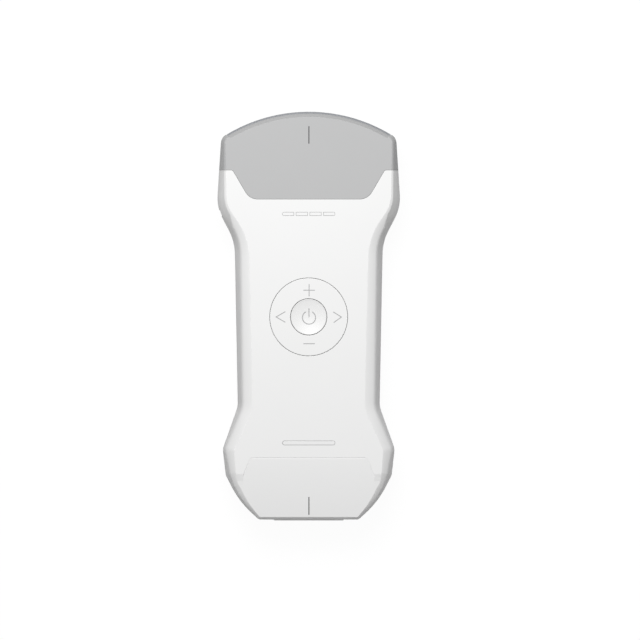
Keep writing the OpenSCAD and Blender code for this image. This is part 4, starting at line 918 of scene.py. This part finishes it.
front = cup("front_case")
cut(front, facet_cutter(), head_cutter(0.1), hole_cutter(14.95, 0.12), *slot_cutters(0.1))
cut(front, *port_cutters(), notch_cutter())
posts = [boss(3.2, 1.8, mouth, ROOT, (s * SCREW_X, y), 5)
         for y, mouth in ((NOSE_SCREW_Y, 13.4), (TAIL_SCREW_Y, PARTING)) for s in (-1, 1)]
posts += [boss(2, 0.85, 18.6, ROOT, (s * 14, KEYS_Y + t * 29.98), 3.8)
          for s in (-1, 1) for t in (-1, 1)]
clamp = [(16.6, 19.8), (18, 19.8), (18, ROOT), (16.6, ROOT)]
join(front, *posts, lathe("clamp", clamp, (0, KEYS_Y), 96))
smooth(front, 32, [level_face, sloping_face])
dress(front, "white_plastic", "case", "front_shell")

# %% [markdown]
# ## The rear half of the case
#
# The back is the mirror image of the front without the keys and the lights. Its four screw
# wells are turned cutters with a rounded mouth. Round each well stands a boss, and four
# slimmer posts carry the boards.

# %% Rear shell
BORE, WELL, WELL_FLOOR = 1.3, 2.7, 5
LUG_LOW, LUG_HIGH = 11.6, 13.4
well = [(0, -2), (2.95, -2), (2.95, 0), (2.85, 0.06), (2.76, 0.16), (WELL, 0.3), (WELL, WELL_FLOOR),
        (BORE, WELL_FLOOR), (BORE, 14), (0, 14)]


# Round a well, up to the head's lug or to the parting line
def sleeve(x, y):
    top = LUG_LOW if y > 0 else PARTING
    profile = [(2.75, 1.4), (3.9, 1.4), (3.9, top), (BORE, top), (BORE, WELL_FLOOR), (2.75, WELL_FLOOR)]
    return lathe("sleeve", profile, (x, y), 48)


def board_post(x, y):
    return boss(2.2, 1.05, 9.9, 1.4, (x, y), 6.8)


rear = turned_over(cup("rear_case"))
screw_places = [(s * SCREW_X, y) for s in (-1, 1) for y in (NOSE_SCREW_Y, TAIL_SCREW_Y)]
wells = [lathe("well", well, at, 64) for at in screw_places]
cut(rear, turned_over(facet_cutter()), head_cutter(0.1), *wells)
cut(rear, *port_cutters(), notch_cutter())
sleeves = [sleeve(x, y) for x, y in screw_places]
sleeves += [board_post(s * 16, y) for s in (-1, 1) for y in (TIP - 53, 30.2 - TIP)]
join(rear, *sleeves)
smooth(rear, 32, [level_face, sloping_face])
dress(rear, "white_plastic", "case", "rear_shell")

# %% [markdown]
# ## The head
#
# The grey head is the nose end of the same form, hollow, and cut off along its border. The
# window for the lens is a thick arc, spun about the middle of the array. Two lugs reach back
# between the case halves, where two of the case screws hold them.

# %% Head
def arc_body(name, profile, angle, steps):
    half = math.radians(angle)
    points = [(r * math.sin(-half), arc_y + r * math.cos(-half), z + PARTING) for r, z in profile]
    piece = built(name, points, faces=[tuple(range(len(points)))])
    return spun(piece, (0, arc_y), 2 * half, steps)


# The lens: half its width along the arc and half its height across it
LENS_HALF, LENS_HIGH = 31.4, 7.85
lens_angle = math.degrees(math.asin(LENS_HALF / ARC_R))
opening = [(54.2, -7.95), (62, -7.95), (62, 7.95), (54.2, 7.95)]
window = arc_body("window", opening, lens_angle + 0.094, 72)
head = whole("head_case", 0, 0, INK, FACE)
hollow = whole("hollow", WALL, 0.8, WALL, THICK - WALL)
cut(head, head_cutter(0), operation="INTERSECT")
cut(head, hollow, window)
lug = [(21.1, TIP - 45.5), (28.1, TIP - 45.5), (28.1, TIP - 24.4), (32.6, TIP - 20.4),
       (32.6, TIP - 16.4), (21.1, TIP - 24.4)]
bore = [(0, 10), (BORE, 10), (BORE, 15), (0, 15)]
# The posts of the array's frame stand on an arc of their own
POST_X, POST_ARC = 17.6, 43.2
post_y = arc_y + math.sqrt(POST_ARC ** 2 - POST_X ** 2)
lugs = []
for side in (-1, 1):
    flat_lug = prism("lug", [(side * x, y) for x, y in lug[::side]], LUG_LOW, LUG_HIGH)
    lugs.append(cut(flat_lug, lathe("bore", bore, (side * SCREW_X, NOSE_SCREW_Y), 32)))
    lugs.append(board_post(side * 16, TIP - 30))
    lugs.append(boss(2.9, 1.05, 11.5, 1.4, (side * POST_X, post_y), 8.1))
join(head, *lugs)
smooth(head, 32, [level_face])
dress(head, "grey_plastic", "case", "head_shell")

# %% [markdown]
# ## The lens
#
# The silicone lens is one section spun through the arc of the array. Its face is slightly
# domed across the array, which focuses the beam, and its long edges are softly rounded where
# the silicone was wiped off against the window.

# %% Lens
DOME_R = 45
across = [LENS_HIGH * t / 12 for t in range(-12, 13)]
dome = [(ARC_R - DOME_R + math.sqrt(DOME_R ** 2 - h ** 2), h) for h in across]
edge = dome[0][0]
border = [(edge + 0.02, 7.6), (edge - 0.1, 7.78), (edge - 0.28, LENS_HIGH), (59.9, LENS_HIGH)]
lens_section = [(r, -h) for r, h in border[::-1]] + dome[1:-1] + border
lens = arc_body("silicone_lens", lens_section, lens_angle, 96)
smooth(lens, 40)
dress(lens, "lens_rubber", "case", "acoustic_lens")

# %% [markdown]
# ## The rocker ring
#
# The ring starts as a low cylinder, its flange. Its top is inset and drawn up to the face,
# both end faces are inset to the size of the hole, and bridging those two faces opens the
# hole. The edges that a thumb feels are bevelled round. The ring ends a hair below the face
# of the CAD piece, so that the printed signs on it end level with it.

# %% Ring
FLANGE_R, FLANGE_LOW, FLANGE_HIGH = 16, 21.5, 22.3
RING_R, BORE_R, FACETS = 14.8, 7.04, 128


def end_face(way):
    return lambda face: face.normal.z * way > 0.9 and len(face.verts) == FACETS


def top_edge(r):
    return lambda edge: all(v.co.z / MM > 24.9 and
                            abs(math.hypot(v.co.x, v.co.y - KEYS_Y * MM) / MM - r) < 0.05
                            for v in edge.verts)


ring_piece = start("rocker", "cylinder", vertices=FACETS, radius=FLANGE_R * MM,
                   depth=(FLANGE_HIGH - FLANGE_LOW) * MM,
                   location=(0, KEYS_Y * MM, (FLANGE_LOW + FLANGE_HIGH) / 2 * MM))
bpy.ops.object.mode_set(mode="EDIT")
pick(ring_piece, end_face(1))
bpy.ops.mesh.inset(thickness=(FLANGE_R - RING_R) * MM, depth=0)
bpy.ops.mesh.extrude_region_move(TRANSFORM_OT_translate={"value": (0, 0, (FACE - FLANGE_HIGH) * MM)})
bpy.ops.mesh.inset(thickness=(RING_R - BORE_R) * MM, depth=0)
pick(ring_piece, end_face(-1))
bpy.ops.mesh.inset(thickness=(FLANGE_R - BORE_R) * MM, depth=0)
pick(ring_piece, lambda face: len(face.verts) == FACETS)
bpy.ops.mesh.bridge_edge_loops()
for r, offset in ((RING_R, 0.18), (BORE_R, 0.15)):
    pick(ring_piece, top_edge(r), "edges")
    bpy.ops.mesh.bevel(offset=offset * MM, segments=4, profile=0.5, affect="EDGES")
bpy.ops.object.mode_set(mode="OBJECT")
pusher = [(0, 20.2), (0.95, 20.2), (1.1, 20.35), (1.1, 22.2), (0, 22.2)]
pushers = [lathe("pusher", pusher, (12.2 * math.cos(a), KEYS_Y + 12.2 * math.sin(a)), 24)
           for a in [math.pi / 2 * k for k in range(4)]]
join(ring_piece, *pushers)
smooth(ring_piece, 50, [level_face])
dress(ring_piece, "key_white", "rocker_ring", "rocker_ring")

# %% [markdown]
# ## The power button
#
# The button is dished so that a fingertip finds it. It is turned from one profile: the skirt
# that keeps it in the case, a rounded rim, and the sphere of the dish.

# %% Button
DISH_R, BUTTON_R = 26.0, 6.85


def dish(r):
    return FACE - math.sqrt(DISH_R ** 2 - r * r) + math.sqrt(DISH_R ** 2 - BUTTON_R ** 2)


rim_round = [(BUTTON_R - 0.2 * (1 - math.sin(t)), FACE - 0.2 * (1 - math.cos(t)))
             for t in [math.pi / 2 * (1 - k / 5) for k in range(6)]]
bowl = [(r, dish(r)) for r in [6.5, 6.1, 5.6, 5, 4.4, 3.7, 3, 2.2, 1.4, 0.7, 0]]
skirt = [(0, 20.25), (1.5, 20.25), (1.5, 22.35), (5.65, 22.35), (5.65, 20.5), (7.7, 20.5),
         (7.7, 21.1), (BUTTON_R, 21.1)]
low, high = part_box("power_button")
print("CAD button:", [round(v / MM, 2) for v in (*low, *high)])
button = lathe("power_key", skirt + rim_round + bowl, (0, KEYS_Y), 96)
smooth(button, 40)
dress(button, "key_white", "power_button", "power_button")

# %% [markdown]
# ## The signs
#
# Plus, minus, two chevrons and the power symbol are printed in pale grey. Each is a thin plate
# of ink drawn from its outline, a few hundredths of a millimetre high, with its foot in the
# plastic. The power symbol follows the dish: it is laid on a surface that is given by `lay`.

# %% Signs
def plate(name, loops, rides, ink="key_print", lay=None):
    foot = FACE - 0.02
    parts = [prism("ink", loop, foot, THICK) for loop in loops]
    piece = join(parts[0], *parts[1:]) if len(parts) > 1 else parts[0]
    piece.name = piece.data.name = name
    if lay:
        for vertex in piece.data.vertices:
            p = vertex.co / MM
            vertex.co.z = (lay(p.x, p.y) + (0.03 if p.z > (foot + THICK) / 2 else -0.04)) * MM
    outward(piece)
    piece.data.materials.append(finishes[ink])
    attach(piece, rides)
    print("sign:", name)


def bar(cx, cy, w, h):
    return [(cx + s * w / 2, cy + t * h / 2) for s, t in ((-1, -1), (1, -1), (1, 1), (-1, 1))]


def stroke(points, wide):
    points, left, right = [Vector(p) for p in points], [], []
    for i, p in enumerate(points):
        a, b = points[max(0, i - 1)], points[min(len(points) - 1, i + 1)]
        ahead = (p - a).normalized() if i else (b - p).normalized()
        after = (b - p).normalized() if i < len(points) - 1 else ahead
        middle = (ahead + after).normalized()
        side = Vector((-middle.y, middle.x)) * (wide / 2 / max(0.3, middle.dot(ahead)))
        left.append(p + side)
        right.append(p - side)
    return right + left[::-1]


LINE = 0.31
plus_w, plus_h, sign_y = 4.4, 4.65, 10.2
arm = (plus_h - LINE) / 2
signs = {
    "sign_plus": [bar(0.15, KEYS_Y + sign_y, plus_w, LINE)]
                 + [bar(0.15, KEYS_Y + sign_y + s * (LINE + arm) / 2, LINE, arm) for s in (-1, 1)],
    "sign_minus": [bar(0.15, KEYS_Y - sign_y, plus_w, LINE)],
    "sign_left": [stroke([(-8.9, 1.7), (-12.45, -0.35), (-8.9, -2.4)], LINE)],
    "sign_right": [stroke([(9.3, 1.6), (12.5, -0.38), (9.5, -2.5)], LINE)]}
for name, loops in signs.items():
    plate(name, loops, "rocker_ring")

# Short pieces, so that the power symbol can follow the dish
POWER_X, POWER_Y, POWER_R, POWER_LINE, SHORT = 0.1, -0.6, 2.5, 0.36, 0.42
arc = [(POWER_X + POWER_R * math.sin(a), POWER_Y + POWER_R * math.cos(a))
       for a in [math.radians(28 + 304 * k / 40) for k in range(41)]]
upright = [bar(POWER_X, POWER_Y + 0.15 + SHORT * k + SHORT / 2, POWER_LINE, SHORT) for k in range(8)]
plate("sign_power", [stroke(arc[k:k + 2], POWER_LINE) for k in range(40)] + upright, "power_button",
      lay=lambda x, y: dish(math.hypot(x, y - KEYS_Y)))

# %% [markdown]
# ## Lights, cover, plugs and ticks
#
# The windows of the lights are moulded bars that end level with the face. They, the port
# cover and the plugs of the screw wells keep the shape of their CAD pieces, but no moulding
# has a knife edge, so each is copied, its loose triangles are merged into clean faces, and a
# Bevel modifier rounds what is sharper than 40 degrees. The two ticks on the middle line are
# printed in dark grey, one on the head and one on the sloping face.

# %% Rounded copies
def rounded_copy(node, name, finish, rides, wide, segments=3):
    piece = frame["nodes"][node].copy()
    piece.data = piece.data.copy()
    piece.name = piece.data.name = name
    piece.parent = None
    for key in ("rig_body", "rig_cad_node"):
        if key in piece:
            del piece[key]
    bpy.context.scene.collection.objects.link(piece)
    lone(piece)
    bpy.ops.object.mode_set(mode="EDIT")
    bpy.ops.mesh.select_all(action="SELECT")
    bpy.ops.mesh.remove_doubles(threshold=0.002 * MM)
    bpy.ops.mesh.dissolve_limited(angle_limit=math.radians(1))
    bpy.ops.object.mode_set(mode="OBJECT")
    bevel = piece.modifiers.new("edge", "BEVEL")
    bevel.width, bevel.segments, bevel.limit_method = wide * MM, segments, "ANGLE"
    bevel.angle_limit = math.radians(40)
    bpy.ops.object.modifier_apply(modifier=bevel.name)
    smooth(piece, 32, [level_face])
    dress(piece, finish, rides, node)


rounded_copy("battery_light_guide", "battery_lights", "clear_plastic", "case", 0.08, 2)
rounded_copy("status_light_guide", "status_light", "clear_plastic", "case", 0.08, 2)
rounded_copy("port_cover", "port_flap", "white_rubber", "port_cover", 0.25)
rounded_copy("screw_plugs", "well_plugs", "white_rubber", "case", 0.3)


def tick(name, y_high, y_low, level):
    mark = bar(0.08, (y_high + y_low) / 2, 0.38, y_high - y_low)
    plate(name, [mark], "case", "case_print", lay=level)


# From a row of the picture to a place on the case: 2.62 rows are one millimetre
def at_row(row):
    return (315.8 - row) / 2.62


tick("tick_head", at_row(126.1), at_row(143.6), lambda x, y: FACE)
tick("tick_tail", at_row(496.7), at_row(514.5), lambda x, y: FACE - sink(y))

# %% [markdown]
# ## Floor and light
#
# The picture is a studio shot on white. The floor answers the camera with plain white, and
# only its faint share of real shading lets a trace of shadow show. One broad soft lamp hangs
# above the nose a little to the left, so that the light fades towards the tail, and a weak
# even surround fills the flanks.

# %% Stage and lamps
floor = start("floor", "plane", size=4, location=(0, 0, -0.0002))
floor_finish = bpy.data.materials.new("floor")
floor_finish.use_nodes = True
tree = floor_finish.node_tree
tree.nodes.clear()
path = tree.nodes.new("ShaderNodeLightPath")
direct, mirrored, through = [Wire(tree, path.outputs["Is %s Ray" % kind])
                             for kind in ("Camera", "Glossy", "Transmission")]
glow = tree.nodes.new("ShaderNodeEmission")
plug(tree, glow.inputs["Strength"], (direct + mirrored + through) * 0.95)
matte = tree.nodes.new("ShaderNodeBsdfDiffuse")
matte.inputs["Color"].default_value = (0.07, 0.07, 0.07, 1)
both = tree.nodes.new("ShaderNodeAddShader")
tree.links.new(glow.outputs[0], both.inputs[0])
tree.links.new(matte.outputs[0], both.inputs[1])
out = tree.nodes.new("ShaderNodeOutputMaterial")
tree.links.new(both.outputs[0], out.inputs["Surface"])
floor.data.materials.append(floor_finish)

world = bpy.data.worlds.new("studio")
bpy.context.scene.world = world
world.use_nodes = True
sky = world.node_tree
backdrop = sky.nodes["Background"].inputs
path = sky.nodes.new("ShaderNodeLightPath")
plug(sky, backdrop["Strength"], Wire(sky, path.outputs["Is Camera Ray"]) * 0.6 + 0.4)
backdrop["Color"].default_value = (1, 1, 1, 1)

# The lamp looks at the origin
softbox = bpy.data.lights.new("main softbox", "AREA")
softbox.shape, softbox.size, softbox.energy = "DISK", 0.4, 2.9
hung = bpy.data.objects.new("main softbox", softbox)
bpy.context.scene.collection.objects.link(hung)
hung.location = (-0.06, 0.3, 0.575)
hung.rotation_euler = (-hung.location).to_track_quat("-Z", "Y").to_euler()
